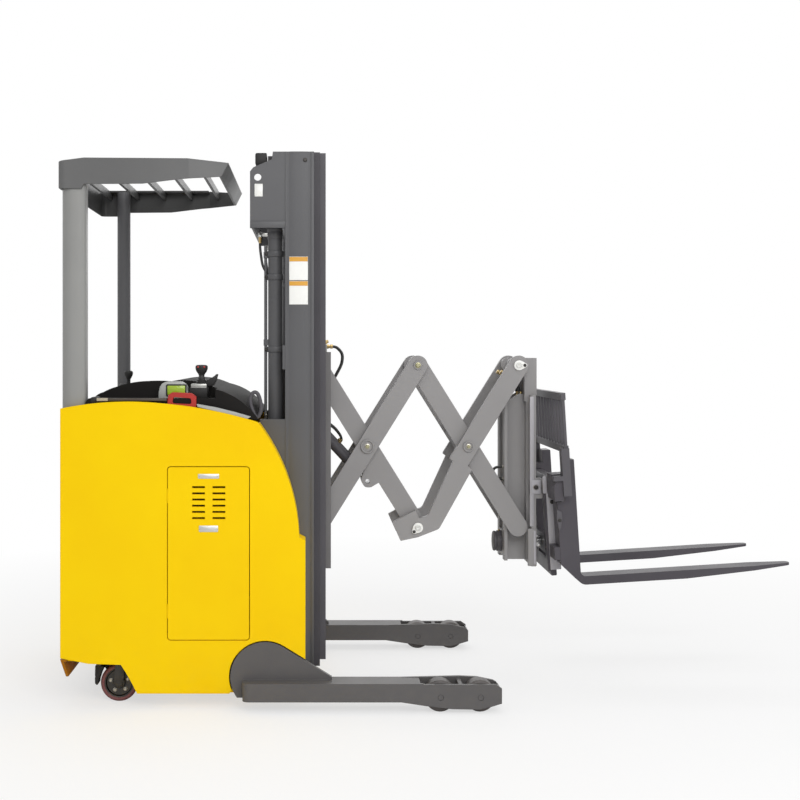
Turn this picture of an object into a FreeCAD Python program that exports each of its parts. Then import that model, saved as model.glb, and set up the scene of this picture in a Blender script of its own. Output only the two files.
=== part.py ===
import FreeCAD, Part
import math
import os

# Stand-on reach truck with a two-stage pantograph. Millimetres, +X to the forks, +Y to the left, +Z up,
# with the floor at z = 0. X is measured from a datum near the mast's front face. At the end every piece moves
# along X so that the origin lies at the middle of the whole truck's length.

# ---- Overall sizes ----
floor_clearance = 62.0
body_half_width = 555.0
panel_thickness = 20.0
body_rear_x = -1029.0
body_front_x = -31.0
outrigger_outer_y = 625.0
outrigger_inner_y = 505.0
guard_height = 2246.0
guard_half_width = 540.0
mast_top_z = 2296.0
mast_foot_z = 118.0

# ---- Wheels ----
load_wheel_radius = 63.5
load_wheel_width = 75.0
load_wheel_bore = 12.0
load_wheel_xs = (513.0, 674.0)
outrigger_tip_x = 759.0
wheel_housing_wall = 15.0
drive_wheel_radius = 120.0
drive_wheel_width = 90.0
drive_x = -740.0
drive_y = 300.0
caster_radius = 77.0
caster_width = 50.0
caster_tyre = 16.0
caster_trail = 54.0
caster_pivot_x = -860.0
caster_y = -417.0
fit = 0.05
running_gap = 5.0

# ---- Mast ----
rail_depth = 120.0
rail_wall = 12.0
stage_step = 25.0
outer_front_x = 4.0
outer_half_width = 440.0
stage_width = 53.0
stage_gap = 2.0
lift_cylinder_x = outer_front_x - rail_depth - 43.0
lift_cylinder_y = 340.0
lift_cylinder_radius = 31.0
lift_rod_radius = 18.0
lift_cylinder_top_z = 1990.0

# ---- Pantograph ----
pivot_x = 17.0
pivot_top_z = 1395.0
link_length = 836.0
link_angle = 58.1
link_width = 85.0
link_end_radius = 40.0
outer_link_y = (140.0, 165.0)
inner_link_y = (110.0, 135.0)
pin_radius = 20.0
reach_base_half_width = 265.0
reach_base_bottom_z = 524.0
reach_base_top_z = 1453.0
reach_cylinder_pivot = (0.0, 1142.0)
reach_lug = (240.0, 885.0)
reach_cylinder_y = 55.0
reach_cylinder_radius = 24.0
reach_rod_radius = 14.0
reach_eye_bore = 10.0

# ---- Fork end ----
tilt_pivot = (985.0, 856.0)
tilt_back = 3.5
fork_length = 900.0
fork_front_x = 1117.0
fork_thickness = 40.0
blade_thickness = 36.0
fork_width = 100.0
fork_centre_y = 273.0
fork_top_z = 990.0
fork_bottom_z = 454.0
carriage_half_width = 370.0
backrest_half_width = 368.0
backrest_top_z = 1275.0
backrest_panel_z = 1022.0

# ---- Body ----
platform_z = 240.0
side_rear_top_z = 1222.0
side_crown = ((-816.0, 1249.0), (-603.0, 1242.0))
side_shoulder = ((-408.0, 1214.0), (-225.0, 1167.0))
side_front = ((-120.0, 986.0), (-56.0, 698.0))
side_step_z = 685.0
door_x = (-594.0, -257.0)
door_z = (278.0, 987.0)
door_gap = 3.0
gusset_centre = (-195.0, 130.0)
gusset_radius = 142.0
gusset_thickness = 28.0
gusset_tail = 272.0


def point(x, y, z):
    return FreeCAD.Vector(x, y, z)


def block(x, y, z):
    """A box from three (low, high) pairs."""
    return Part.makeBox(x[1] - x[0], y[1] - y[0], z[1] - z[0], point(x[0], y[0], z[0]))


def polygon(corners, low, high, plane="xz"):
    """A plate from an outline. Its thickness runs from low to high across the plane."""
    place = {
        "xz": lambda a, b: point(a, low, b),
        "xy": lambda a, b: point(a, b, low),
        "yz": lambda a, b: point(low, a, b),
    }[plane]
    across = {"xz": point(0, 1, 0), "xy": point(0, 0, 1), "yz": point(1, 0, 0)}[plane]
    ring = [place(a, b) for a, b in corners]
    return Part.Face(Part.makePolygon(ring + ring[:1])).extrude(across * (high - low))


def round_corners(corners, radii):
    """An outline whose corners are cut back to the ends of tangent arcs."""
    result = []
    count = len(corners)
    for number, (corner, radius) in enumerate(zip(corners, radii)):
        if not radius:
            result.append(corner)
            continue
        before, after = corners[number - 1], corners[(number + 1) % count]
        ways = []
        for other in (before, after):
            length = math.dist(other, corner)
            ways.append(((other[0] - corner[0]) / length, (other[1] - corner[1]) / length))
        between = math.acos(ways[0][0] * ways[1][0] + ways[0][1] * ways[1][1])
        setback = radius / math.tan(between / 2)
        middle = (ways[0][0] + ways[1][0], ways[0][1] + ways[1][1])
        size = math.hypot(*middle)
        reach = radius / math.sin(between / 2)
        centre = (corner[0] + middle[0] / size * reach, corner[1] + middle[1] / size * reach)
        ends = [(corner[0] + w[0] * setback, corner[1] + w[1] * setback) for w in ways]
        result.append(("arc", ends[0], centre, ends[1]))
    return result


def rounded_plate(corners, radii, low, high, plane="xz"):
    """A plate whose corners are true arcs with the given radii."""
    if not hasattr(radii, "__len__"):
        radii = [radii] * len(corners)
    place = {
        "xz": lambda p: point(p[0], low, p[1]),
        "xy": lambda p: point(p[0], p[1], low),
        "yz": lambda p: point(low, p[0], p[1]),
    }[plane]
    across = {"xz": point(0, 1, 0), "xy": point(0, 0, 1), "yz": point(1, 0, 0)}[plane]
    edges = []
    pieces = round_corners(corners, radii)
    starts = [p[1] if p[0] == "arc" else p for p in pieces]
    for number, piece in enumerate(pieces):
        end = piece
        if piece[0] == "arc":
            _, first, centre, last = piece
            radius = math.dist(first, centre)
            middle = ((first[0] + last[0]) / 2 - centre[0], (first[1] + last[1]) / 2 - centre[1])
            size = math.hypot(*middle)
            top = (centre[0] + middle[0] / size * radius, centre[1] + middle[1] / size * radius)
            edges.append(Part.Arc(place(first), place(top), place(last)).toShape())
            end = last
        following = starts[(number + 1) % len(pieces)]
        if math.dist(end, following) > 1e-6:
            edges.append(Part.makeLine(place(end), place(following)))
    return Part.Face(Part.Wire(edges)).extrude(across * (high - low))


def curved_plate(start, path, low, high):
    """A plate from an outline in XZ. Each step of the path is a point, or a (middle, end) pair for an arc."""
    edges = []
    here = start
    for step in list(path) + [start]:
        if isinstance(step[0], tuple):
            middle, end = step
            edges.append(Part.Arc(point(here[0], low, here[1]), point(middle[0], low, middle[1]),
                                  point(end[0], low, end[1])).toShape())
        else:
            end = step
            edges.append(Part.makeLine(point(here[0], low, here[1]), point(end[0], low, end[1])))
        here = end
    return Part.Face(Part.Wire(edges)).extrude(point(0, high - low, 0))


def rod_y(x, z, radius, low, high):
    return Part.makeCylinder(radius, high - low, point(x, low, z), point(0, 1, 0))


def rod_x(y, z, radius, low, high):
    return Part.makeCylinder(radius, high - low, point(low, y, z), point(1, 0, 0))


def rod_z(x, y, radius, low, high):
    return Part.makeCylinder(radius, high - low, point(x, y, low))


def rod_between(start, end, radius):
    along = end - start
    return Part.makeCylinder(radius, along.Length, start, along)


def join(*shapes):
    """One solid from pieces that touch or overlap."""
    whole = shapes[0].multiFuse(list(shapes[1:])) if len(shapes) > 1 else shapes[0]
    return whole.removeSplitter()


def group(*shapes):
    """Like pieces on one body that don't touch."""
    return Part.makeCompound([solid for shape in shapes for solid in shape.Solids])


def mirrored(shape):
    return shape.mirror(point(0, 0, 0), point(0, 1, 0))


def both_sides(shape):
    """A shape and its mirror image on the truck's other side."""
    return shape, mirrored(shape)


def both(low, high):
    """The two Y spans of a pair of plates that lie each side of the centre plane."""
    return ((-high, -low), (low, high))


parts = {}

# ---- Body ----
side_bottom_rear_z = 206.0
arch_top_z = 179.0
panel_y = (body_half_width - panel_thickness, body_half_width)
frame_y = panel_y[0] - 0.3


def side_sheet(low, high, inset=0.0):
    """The side panel's outline as a plate. Its top and front edge can be moved inwards by inset."""
    foot_z = gusset_centre[1]

    def down(pair):
        return tuple((x, z - inset) for x, z in pair)

    start = (body_rear_x, side_rear_top_z - inset)
    path = [
        down(side_crown), down(side_shoulder),
        ((side_front[0][0] - inset, side_front[0][1] - inset / 2),
         (side_front[1][0] - inset, side_front[1][1])),
        (body_front_x - inset, side_step_z), (body_front_x - inset, foot_z), (-300, foot_z),
        (-340, floor_clearance), (-716, floor_clearance), ((-735, 100), (-782, arch_top_z)), (-914, 183),
        (body_rear_x, side_bottom_rear_z),
    ]
    return curved_plate(start, path, low, high)


def gusset_cut(low, high):
    """The space in the side panel for the outrigger's fender, with a gap all round."""
    spare = gusset_radius + running_gap
    x, z = gusset_centre
    disc = rod_y(x, z, spare, low, high)
    slope = math.asin(gusset_radius / gusset_tail)
    touch = (x + spare * math.sin(slope), z + spare * math.cos(slope))
    end_x = x + spare / math.sin(slope)
    return join(disc, polygon([(x, z - 90), (x, z + 20), touch, (end_x, z), (end_x, z - 90)], low, high))


def side_panel():
    """The right-hand panel with its front return, before any door opening."""
    sheet = side_sheet(-panel_y[1], -panel_y[0])
    return_y = (-panel_y[0], -(outer_half_width + running_gap))
    inner = side_sheet(return_y[0] - 1, return_y[1] + 1, rail_wall)
    strip = side_sheet(*return_y).cut(inner)
    keep = block((-222, 0), return_y, (290, 1165))
    panel = join(sheet, strip.common(keep))
    return panel.cut(gusset_cut(-panel_y[1] - 1, -panel_y[0] + 1))


def vents(low, high):
    """Two columns of six horizontal slots."""
    slots = []
    for column in (-492.0, -409.0):
        for row in range(6):
            z = 902.0 - 25.2 * row
            slots.append(block((column, column + 52.0), (low, high), (z - 4.0, z + 4.0)))
    return slots


def service_door():
    gap = door_gap
    low, high = -panel_y[1], -panel_y[0]
    corners = [
        (door_x[0] + gap, door_z[0] + gap), (door_x[1] - gap, door_z[0] + gap),
        (door_x[1] - gap, door_z[1] - gap), (door_x[0] + gap, door_z[1] - gap),
    ]
    leaf = rounded_plate(corners, 12.0, low, high).cut(Part.makeCompound(vents(low - 1, high + 1)))
    knuckles = [rod_z(door_x[0] + gap, low, gap - 0.6, z, z + 60.0) for z in (door_z[0] + 90.0,
        door_z[1] - 150.0)]
    return join(leaf, *knuckles)


def door_opening():
    corners = [(door_x[0], door_z[0]), (door_x[1], door_z[0]), (door_x[1], door_z[1]), (door_x[0], door_z[1])]
    return rounded_plate(corners, 12.0 + door_gap, -panel_y[1] - 1, -panel_y[0] + 1)


parts["right_side_panel"] = side_panel().cut(door_opening())
parts["left_side_panel"] = mirrored(side_panel())
parts["service_door"] = service_door()

partition_x = (-612.0, -600.0)
tray_z = (floor_clearance, floor_clearance + 14.0)
cross_box_x = (-300.0, -215.0)
rail_z = (215.0, 300.0)
cabinet_y = 130.0
cabinet_top_z = 1175.0


def chassis_frame():
    """Side rails, the battery tray, cross members and the plate that the mast stands on."""
    rear = body_rear_x + panel_thickness + 6.0
    rails = [block((rear, cross_box_x[1]), span, rail_z) for span in both(frame_y - 28.0, frame_y)]
    front = block(cross_box_x, (-frame_y, frame_y), (tray_z[0], rail_z[1]))
    tray = block((partition_x[0], cross_box_x[0]), (-frame_y, frame_y), tray_z)
    hoops = [
        block((partition_x[0] - 40.0, partition_x[0]), span, (tray_z[0], rail_z[1]))
        for span in both(frame_y - 28.0, frame_y)
    ]
    middle = block((partition_x[0] - 40.0, partition_x[0]), (-frame_y, drive_y - 150.0),
                   (rail_z[0] - 20.0, platform_z - 6.0))
    drive_deck = block((rear, partition_x[0]), (cabinet_y, frame_y), (rail_z[0] + 40.0, rail_z[1]))
    drive_deck = drive_deck.cut(rod_z(drive_x, drive_y, 62.0, 200.0, 320.0))
    caster_deck = block((rear, caster_pivot_x + 90.0), (-frame_y, caster_y + 90.0),
                        (rail_z[0] - 20.0, platform_z - 12.0))
    beam = block((rear, rear + 40.0), (-frame_y, frame_y), (rail_z[0] - 25.0, platform_z - 6.0))
    foot = block((cross_box_x[1], outer_front_x), (-outer_half_width, outer_half_width),
                 (mast_foot_z - 30.0, mast_foot_z))
    whole = join(front, tray, middle, drive_deck, caster_deck, beam, foot, *rails, *hoops)
    return whole.cut(rod_z(caster_pivot_x, caster_y, 16.0 + fit, 150.0, platform_z))


parts["chassis_frame"] = chassis_frame()
bulkhead_x = (-245.0, -235.0)
parts["front_bulkhead"] = block(bulkhead_x, (-frame_y, frame_y), (rail_z[1], 1100.0))
parts["operator_partition"] = block(partition_x, (-frame_y, frame_y), (rail_z[1], cabinet_top_z))
parts["operator_platform"] = block(
    (body_rear_x + 30.0, partition_x[0] - 0.3), (-frame_y + 28.3, cabinet_y - 0.3),
    (platform_z - 6.0, platform_z + 12.0)
)
parts["battery"] = block((partition_x[1] + 12.0, bulkhead_x[0] - 60.0), (-480.0, 480.0), (tray_z[1], 880.0))


def drive_cabinet():
    """The cover over the drive unit, open below, with its top under the console."""
    outside = block((body_rear_x + 26.0, partition_x[0] - 0.3), (cabinet_y, frame_y),
                    (rail_z[1], cabinet_top_z))
    inside = block(
        (body_rear_x + 30.0, partition_x[0] - 4.0), (cabinet_y + 4.0, frame_y - 4.0),
        (rail_z[1] - 1.0, cabinet_top_z - 4.0)
    )
    return outside.cut(inside)


parts["drive_cabinet"] = drive_cabinet()
pad = rounded_plate(
    [(-970.0, 760.0), (-640.0, 760.0), (-640.0, 1120.0), (-970.0, 1120.0)], 40.0, cabinet_y - 45.3,
    cabinet_y - 0.3
)
parts["backrest_pad"] = pad
parts["rear_bumper"] = polygon(
    [(body_rear_x, 200.7), (body_rear_x + 24.0, 132.0), (body_rear_x + 34.0, 132.0),
     (body_rear_x + 14.0, 191.0),
     (body_rear_x + 26.0, 191.0), (body_rear_x + 26.0, 200.7)],
    -body_half_width, body_half_width,
)

# ---- Console ----
console_y = panel_y[0] - 8.0
cover_base_z = 1175.3
ledge_z = 1286.0
crown = ((-600.0, 1329.0), (-410.0, 1303.0))
nose = ((-308.0, 1260.0), (-228.0, 1182.0))
well_y = -330.0
armrest_z = 1262.0
armrest_front_x = -400.0
armrest_y = (-560.0, -380.0)


def console_arch(low, high, drop, ends):
    """The cover's outline as a plate, lowered by drop, with its rear and front ends moved inwards."""
    rear, front = -936.0 + ends, -228.0 - ends
    base = cover_base_z - (1.0 if drop else 0.0)
    start = (rear, base)
    path = [
        (rear, 1235.0 - drop), ((-913.0 + ends / 2, 1268.0 - drop), (-868.0, ledge_z - drop)),
        (-712.0, ledge_z - drop),
        tuple((x, z - drop) for x, z in crown), ((nose[0][0] - ends / 2, nose[0][1] - drop),
                                                 (front, 1182.0 - drop / 4)),
        (front, base),
    ]
    return curved_plate(start, path, low, high)


def console_top():
    """The arched cover with a low armrest, U-shaped in plan round the operator's space, open below."""
    skin = 20.0
    step = block((-960.0, armrest_front_x), armrest_y, (armrest_z, 1400.0))
    under = block((-960.0, armrest_front_x + skin), (armrest_y[0], armrest_y[1] + skin),
                  (armrest_z - skin, 1400.0))
    outside = console_arch(-console_y, console_y, 0.0, 0.0).cut(step)
    inside = console_arch(-console_y + skin, console_y - skin, skin, skin).cut(under)
    shell = outside.cut(inside)
    coaming = curved_plate(
        (-913.0, armrest_z), [((-872.0, 1289.0), (-821.0, 1308.0)), ((-761.0, 1324.0), (-700.0, 1330.0)),
                              ((-650.0, 1331.5), (-590.0, 1328.0)), (-590.0, armrest_z)],
        armrest_y[1], well_y,
    )
    well = block((-1000.0, partition_x[0] - 30.0), (well_y, cabinet_y - 50.0), (1100.0, 1400.0))
    wall_span = (well_y - 12.0, cabinet_y - 38.0)
    walls = block((-936.0, partition_x[0] - 18.0), wall_span, (cover_base_z, 1400.0)).common(outside)
    return join(shell, walls, coaming).cut(well)


parts["console_top"] = console_top()
parts["display_unit"] = rounded_plate(
    [(-640, 1252), (-515, 1250), (-520, 1308), (-545, 1330), (-610, 1330), (-636, 1305)],
    [4, 4, 10, 14, 14, 12], -470.0, -400.0,
)


def joystick():
    """A stem with a wide head, a thumb lever and a square base on the armrest."""
    x, y, z = -464.0, -430.0, 1318.0
    base = block((x - 48, x + 28), (y - 35, y + 35), (armrest_z - 4.0, z + 4))
    stem = Part.makeCone(20.0, 13.0, 45.0, point(x, y, z + 4))
    head = Part.makeCone(14.0, 26.0, 42.0, point(x, y, z + 46))
    wing_corners = [(x + 12, z - 6), (x + 52, z - 2), (x + 70, z + 44), (x + 56, z + 38), (x + 34, z + 20)]
    wing = polygon(wing_corners, y - 14, y + 14)
    return join(base, stem, head, wing)


def emergency_handle():
    """The red hoop beside the armrest."""
    outline = [(-597, 1218), (-477, 1206), (-477, 1270), (-497, 1284), (-574, 1288), (-592, 1276)]
    hole = [(-576, 1243), (-496, 1239), (-499, 1263), (-570, 1268)]
    low = -console_y - 6.0
    hoop = rounded_plate(outline, [2, 2, 14, 10, 14, 10], low, low + 22.0)
    return hoop.cut(rounded_plate(hole, 8.0, low - 1.0, low + 23.0))


def steering_wheel():
    """A small disc wheel with a spinner knob, level, on its own shaft."""
    x, y, z = steering_centre
    disc = rod_z(x, y, steering_radius, z, z + 16.0)
    disc = disc.cut(rod_z(x, y, steering_radius - 24.0, z + 6.0, z + 17.0))
    boss = rod_z(x, y, 34.0, z, z + 14.0)
    column = rod_z(x, y, 14.0, z - 50.0, z + 1.0)
    knob_x = x - steering_radius + 44.0
    knob_stem = rod_z(knob_x, y, 9.0, z + 5.0, z + 40.0)
    knob = Part.makeCone(15.0, 21.0, 40.0, point(knob_x, y, z + 38.0))
    return join(disc, boss, column, knob_stem, knob)


steering_radius = 100.0
steering_centre = (-815.0, 290.0, 1289.0)
parts["joystick"] = joystick()
parts["emergency_handle"] = emergency_handle()
parts["steering_wheel"] = steering_wheel()

# ---- Overhead guard ----
guard_skin = 8.0


guard_rear_x = -1044.0
guard_fold_x = -507.0
guard_front_x = -347.0
guard_flange = 70.0
blade_width = 12.0
blade_depth = 34.0
blade_first_x = -989.0
blade_pitch = 131.5
blade_count = 5


def guard_wall():
    """The folded wall: square at the back, drawn in towards the front, and cut to its side outline."""
    z = guard_height
    rings = []
    for inset in (0.0, guard_skin):
        half, front = guard_half_width - inset, guard_half_width - 35.0 - inset
        rear = guard_rear_x + inset
        corners = [(rear, -half), (guard_fold_x, -half), (guard_front_x, -front), (guard_front_x, front),
                   (guard_fold_x, half), (rear, half)]
        radii = [32.0 - inset, 0.0, 0.0, 0.0, 0.0, 32.0 - inset]
        rings.append(rounded_plate(corners, radii, z - 140.0 - inset, z + inset, "xy"))
    side = [
        (guard_rear_x, z - 14), (-936, z), (-514, z - 3), (guard_front_x, z - 17), (-376, z - 74),
        (-547, z - 88),
        (-696, z - 106), (-938, z - 108), (-944, z - 126), (guard_rear_x + 6, z - 126),
        (guard_rear_x, z - 120),
    ]
    radii = [8, 60, 60, 0, 0, 60, 60, 10, 4, 4, 4]
    outline = rounded_plate(side, radii, -guard_half_width - 1.0, guard_half_width + 1.0)
    return rings[0].cut(rings[1]).common(outline)


def overhead_guard():
    """The folded wall with a flange each side, five cross blades and a sloping front plate."""
    z = guard_height
    inner = guard_half_width - guard_skin
    flange_x = (guard_rear_x + 32.0, guard_fold_x)
    flanges = [block(flange_x, span, (z - 16.0, z - 8.0)) for span in both(inner - guard_flange, inner)]
    blades = []
    for number in range(blade_count):
        x = blade_first_x + blade_pitch * number
        forward = max(0.0, x - guard_fold_x) / (guard_front_x - guard_fold_x)
        half = inner - 35.0 * forward
        blades.append(block((x - blade_width / 2, x + blade_width / 2), (-half, half),
                            (z - 12.0 - blade_depth, z - 12.0)))
    front_half = inner - 26.0
    front = polygon([(-356, z - 18), (guard_front_x, z - 17), (-376, z - 74), (-385, z - 74)], -front_half,
                    front_half)
    return join(guard_wall(), *flanges, *blades, front)


post_x = (-1033.0, -930.0)
left_post = (-920.0, 475.0, 31.5)


def guard_post_right():
    """A wide folded column, open towards the operator."""
    y = (-guard_half_width + guard_skin, -guard_half_width + guard_skin + 60.0)
    corners = [(post_x[0], y[0]), (post_x[1], y[0]), (post_x[1], y[1]), (post_x[0], y[1])]
    top = guard_height - 12.0 - blade_depth
    outside = rounded_plate(corners, [24.0, 10.0, 4.0, 4.0], rail_z[1], top, "xy")
    inside = block((post_x[0] + 8.0, post_x[1] - 8.0), (y[0] + 8.0, y[1] + 1.0),
                   (rail_z[1] - 1.0, guard_height))
    return outside.cut(inside)


def guard_post_left():
    x, y, radius = left_post
    tube = rod_z(x, y, radius, cabinet_top_z, guard_height - 16.0)
    return tube.cut(rod_z(x, y, radius - 6.0, cabinet_top_z - 1.0, guard_height))


parts["overhead_guard"] = overhead_guard()
parts["guard_post_right"] = guard_post_right()
parts["guard_post_left"] = guard_post_left()
post_hole = rod_z(left_post[0], left_post[1], left_post[2], cover_base_z - 1, 1400.0)
column_hole = rod_z(steering_centre[0], steering_centre[1], 14.0 + fit, cover_base_z - 1, 1400.0)
for piece in (parts["display_unit"], parts["joystick"], parts["emergency_handle"], parts["guard_post_right"],
              post_hole, column_hole):
    parts["console_top"] = parts["console_top"].cut(piece)
parts["console_top"] = max(parts["console_top"].Solids, key=lambda solid: solid.Volume)

# ---- Outriggers ----
arm_z = (45.0, 119.0)
housing_rear_x = 415.0


def right_outrigger():
    """The fender plate, the long tube and the wheel housing, open above and below."""
    low, high = -outrigger_outer_y, -outrigger_inner_y
    tube = rounded_plate(
        [(-285, low), (housing_rear_x + 30, low), (housing_rear_x + 30, high), (-285, high)],
        [26, 0, 0, 26], *arm_z, "xy"
    )
    tip = outrigger_tip_x
    outer = [(housing_rear_x - 60, arm_z[0]), (housing_rear_x + 40, 30), (560, 18), (tip - 90, 16),
             (tip - 40, 28), (tip, 40),
             (tip, 100), (tip - 24, 116), (housing_rear_x - 60, 116)]
    outer_wall = polygon(outer, low, low + wheel_housing_wall)
    inner_top = [(tip - 20, 108), (tip - 90, 122), (600, 125), (housing_rear_x - 60, 119)]
    inner_wall = polygon(outer[:-3] + [(tip, 92)] + inner_top, high - wheel_housing_wall, high)
    nose = polygon([(tip - 12, 40), (tip, 40), (tip, 92), (tip - 12, 104)], low, high)
    web = block((586, 602), (low, high), (24, 116))
    plate_y = (-body_half_width - 2.0, -frame_y)
    x, z = gusset_centre
    disc = rod_y(x, z, gusset_radius, *plate_y)
    slope = math.asin(gusset_radius / gusset_tail)
    touch = (x + gusset_radius * math.sin(slope), z + gusset_radius * math.cos(slope))
    end_x = x + gusset_tail
    tail = polygon([(x, z - 84), (x, z + 20), touch, (end_x, z), (end_x, z - 84)], *plate_y)
    fender = join(disc, tail).cut(block((x - 300, x + 400), (-700, 0), (-100, z - 84)))
    whole = join(tube, outer_wall, inner_wall, nose, web, fender)
    bores = [rod_y(wheel_x, load_wheel_radius, load_wheel_bore, low - 1,
                   high + 1) for wheel_x in load_wheel_xs]
    wells = block((housing_rear_x + 18, tip - 12), (low + wheel_housing_wall, high - wheel_housing_wall),
                  (0, 140))
    wells = wells.cut(block((586, 602), (low, high), (0, 140)))
    return whole.cut(Part.makeCompound([wells] + bores))


parts["right_outrigger"] = right_outrigger()
parts["left_outrigger"] = mirrored(parts["right_outrigger"])
for side in ("right_outrigger", "left_outrigger"):
    parts["chassis_frame"] = parts["chassis_frame"].cut(parts[side])


def load_wheel(x, side):
    """A solid wheel on its axle, which runs in the housing's two walls."""
    y = side * (outrigger_inner_y + outrigger_outer_y) / 2
    half = load_wheel_width / 2
    tread = rod_y(x, load_wheel_radius, load_wheel_radius, y - half, y + half)
    axle_half = (outrigger_outer_y - outrigger_inner_y) / 2 - 1.0
    axle = rod_y(x, load_wheel_radius, load_wheel_bore - fit, y - axle_half, y + axle_half)
    return join(tread, axle)


for place, x in zip(("rear", "front"), load_wheel_xs):
    parts["right_" + place + "_load_wheel"] = load_wheel(x, -1)
    parts["left_" + place + "_load_wheel"] = load_wheel(x, 1)


def wheel(x, y, radius, width, rim, bore):
    """A tyre with a sunk disc on each face."""
    tyre = rod_y(x, radius, radius, y - width / 2, y + width / 2)
    sunk = [
        rod_y(x, radius, rim, y - width / 2 - 1, y - width / 2 + 8.0),
        rod_y(x, radius, rim, y + width / 2 - 8.0, y + width / 2 + 1),
    ]
    hub = rod_y(x, radius, bore + 14.0, y - width / 2, y + width / 2)
    return join(tyre.cut(Part.makeCompound(sunk)), hub).cut(rod_y(x, radius, bore, y - width, y + width))


def forked_bracket(x, y, radius, width, pivot, axle_radius, plate, top_z, deck_z, stem_radius, stem_top):
    """Two cheeks and an axle for a wheel, under a top plate with a round stem that turns in the deck."""
    cheeks = []
    for low, high in ((y - width / 2 - 4.0 - plate, y - width / 2 - 4.0),
                      (y + width / 2 + 4.0, y + width / 2 + 4.0 + plate)):
        cheeks.append(polygon([(x - 22, radius - 14), (x + 18, radius - 14), (x + 22, top_z),
                               (pivot - 30, top_z)], low, high))
    axle = rod_y(x, radius, axle_radius, y - width / 2 - 4.0 - plate, y + width / 2 + 4.0 + plate)
    crown_x = (min(pivot - 36.0, x - 22.0), x + 22.0)
    top = block(crown_x, (y - width / 2 - 4.0 - plate, y + width / 2 + 4.0 + plate), (top_z - 0.0, deck_z))
    stem = rod_z(pivot, y, stem_radius, top_z, stem_top)
    return join(*cheeks, axle, top, stem)


caster_x = caster_pivot_x + caster_trail
parts["caster_wheel"] = wheel(caster_x, caster_y, caster_radius, caster_width, caster_radius - caster_tyre,
                              12.0)
parts["caster_bracket"] = forked_bracket(
    caster_x, caster_y, caster_radius, caster_width, caster_pivot_x, 12.0 - fit, 8.0,
    2 * caster_radius + 8.0, 2 * caster_radius + 20.0, 16.0, rail_z[0] + 10.0,
)
parts["drive_wheel"] = wheel(drive_x, drive_y, drive_wheel_radius, drive_wheel_width,
                             drive_wheel_radius - 32.0, 18.0)


def drive_unit():
    """A gear case beside the wheel, a turntable under the deck and the motor above it."""
    y, top = drive_y, 2 * drive_wheel_radius
    cheek_y = (y + drive_wheel_width / 2 + 6.0, y + drive_wheel_width / 2 + 40.0)
    case = rod_y(drive_x, drive_wheel_radius, 66.0, *cheek_y)
    neck = block((drive_x - 55.0, drive_x + 55.0), cheek_y, (drive_wheel_radius, top + 8.0))
    axle = rod_y(drive_x, drive_wheel_radius, 18.0 - fit, y - drive_wheel_width / 2, cheek_y[1])
    table = rod_z(drive_x, y, 88.0, top + 6.0, rail_z[0] + 39.7)
    neck_ring = rod_z(drive_x, y, 60.0, top + 10.0, rail_z[1] + 20.0)
    motor = rod_z(drive_x, y, 85.0, rail_z[1] + 12.0, 640.0)
    cap = rod_z(drive_x, y, 60.0, 640.0, 700.0)
    return join(case, neck, axle, table, neck_ring, motor, cap)


parts["drive_unit"] = drive_unit()

# ---- Mast ----
middle_front_x = outer_front_x + stage_step
inner_front_x = middle_front_x + stage_step
outer_y = (outer_half_width - 50.0, outer_half_width)
middle_y = (outer_y[0] - stage_gap - stage_width, outer_y[0] - stage_gap)
inner_y = (middle_y[0] - stage_gap - stage_width, middle_y[0] - stage_gap)


def rail(front_x, span, bottom, top):
    """A channel rail whose open side faces the centre plane."""
    low, high = span
    rear_x = front_x - rail_depth
    whole = block((rear_x, front_x), (low, high), (bottom, top))
    hollow = block((rear_x + rail_wall, front_x - rail_wall), (low - 1, high - rail_wall),
                   (bottom - 1, top + 1))
    return whole.cut(hollow)


seat_gap = 0.3
mast_roller_radius = rail_depth / 2 - rail_wall - seat_gap


def rollers(front_x, web_y, reach, heights, radius=mast_roller_radius):
    """Rollers on stub axles that stand out from a rail's web into the rail outside it."""
    x = front_x - rail_depth / 2
    shapes = []
    for z in heights:
        shapes.append(rod_y(x - stage_step, z, 16.0, web_y, web_y + reach))
        shapes.append(rod_y(x - stage_step, z, radius, web_y + reach - 30.0, web_y + reach))
    return shapes


def outer_mast():
    """The fixed rails, their rear ties and the two bracket boxes behind the top."""
    rails = both_sides(rail(outer_front_x, outer_y, mast_foot_z, mast_top_z - 10.0))
    rear_x = outer_front_x - rail_depth
    tie_x = (rear_x - 11.0, rear_x)
    ties = [block(tie_x, (-outer_y[1], outer_y[1]), span) for span in ((1380.0, 1480.0), (2060.0, 2180.0),
        (200.0, 420.0))]
    side = [
        (rear_x, 1968), (-262, 1968), (-262, 2204), (-248, 2221), (-171, 2254), (-167, 2286), (rear_x, 2286),
    ]
    hole = rod_y(-230, 2180, 15.0, -500, 500)
    cheeks = [polygon(side, *span).cut(hole) for span in both(outer_y[1] - rail_wall, outer_y[1])]
    rear = block((-262.0, -252.0), (-outer_y[1], outer_y[1]), (1980.0, 2110.0))
    knees = [polygon([(rear_x, 1173), (-222, 1173), (-222, 300), (rear_x, 300)], *span) for span in
             both(outer_y[1] - rail_wall, outer_y[1])]
    return join(*rails, *ties, rear, *knees, *cheeks)


def middle_mast():
    """The second rails with their rear ties, bottom rollers and the arms that the lift rods push."""
    rails = both_sides(rail(middle_front_x, middle_y, mast_foot_z + 17.0, mast_top_z - 5.0))
    rear_x = middle_front_x - rail_depth
    tie_x = (rear_x, rear_x + rail_wall)
    ties = [block(tie_x, (-middle_y[1], middle_y[1]), span) for span in ((2190.0, 2285.0), (170.0, 260.0))]
    turning = []
    for shape in rollers(middle_front_x, middle_y[1], 36.0, (200.0, 420.0)):
        turning += both_sides(shape)
    arm = block((lift_cylinder_x - 30.0, rear_x + rail_wall), (lift_cylinder_y - 35.0, middle_y[1]),
                (2240.0, 2275.0))
    return join(*rails, *ties, *turning, *both_sides(arm))


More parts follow.
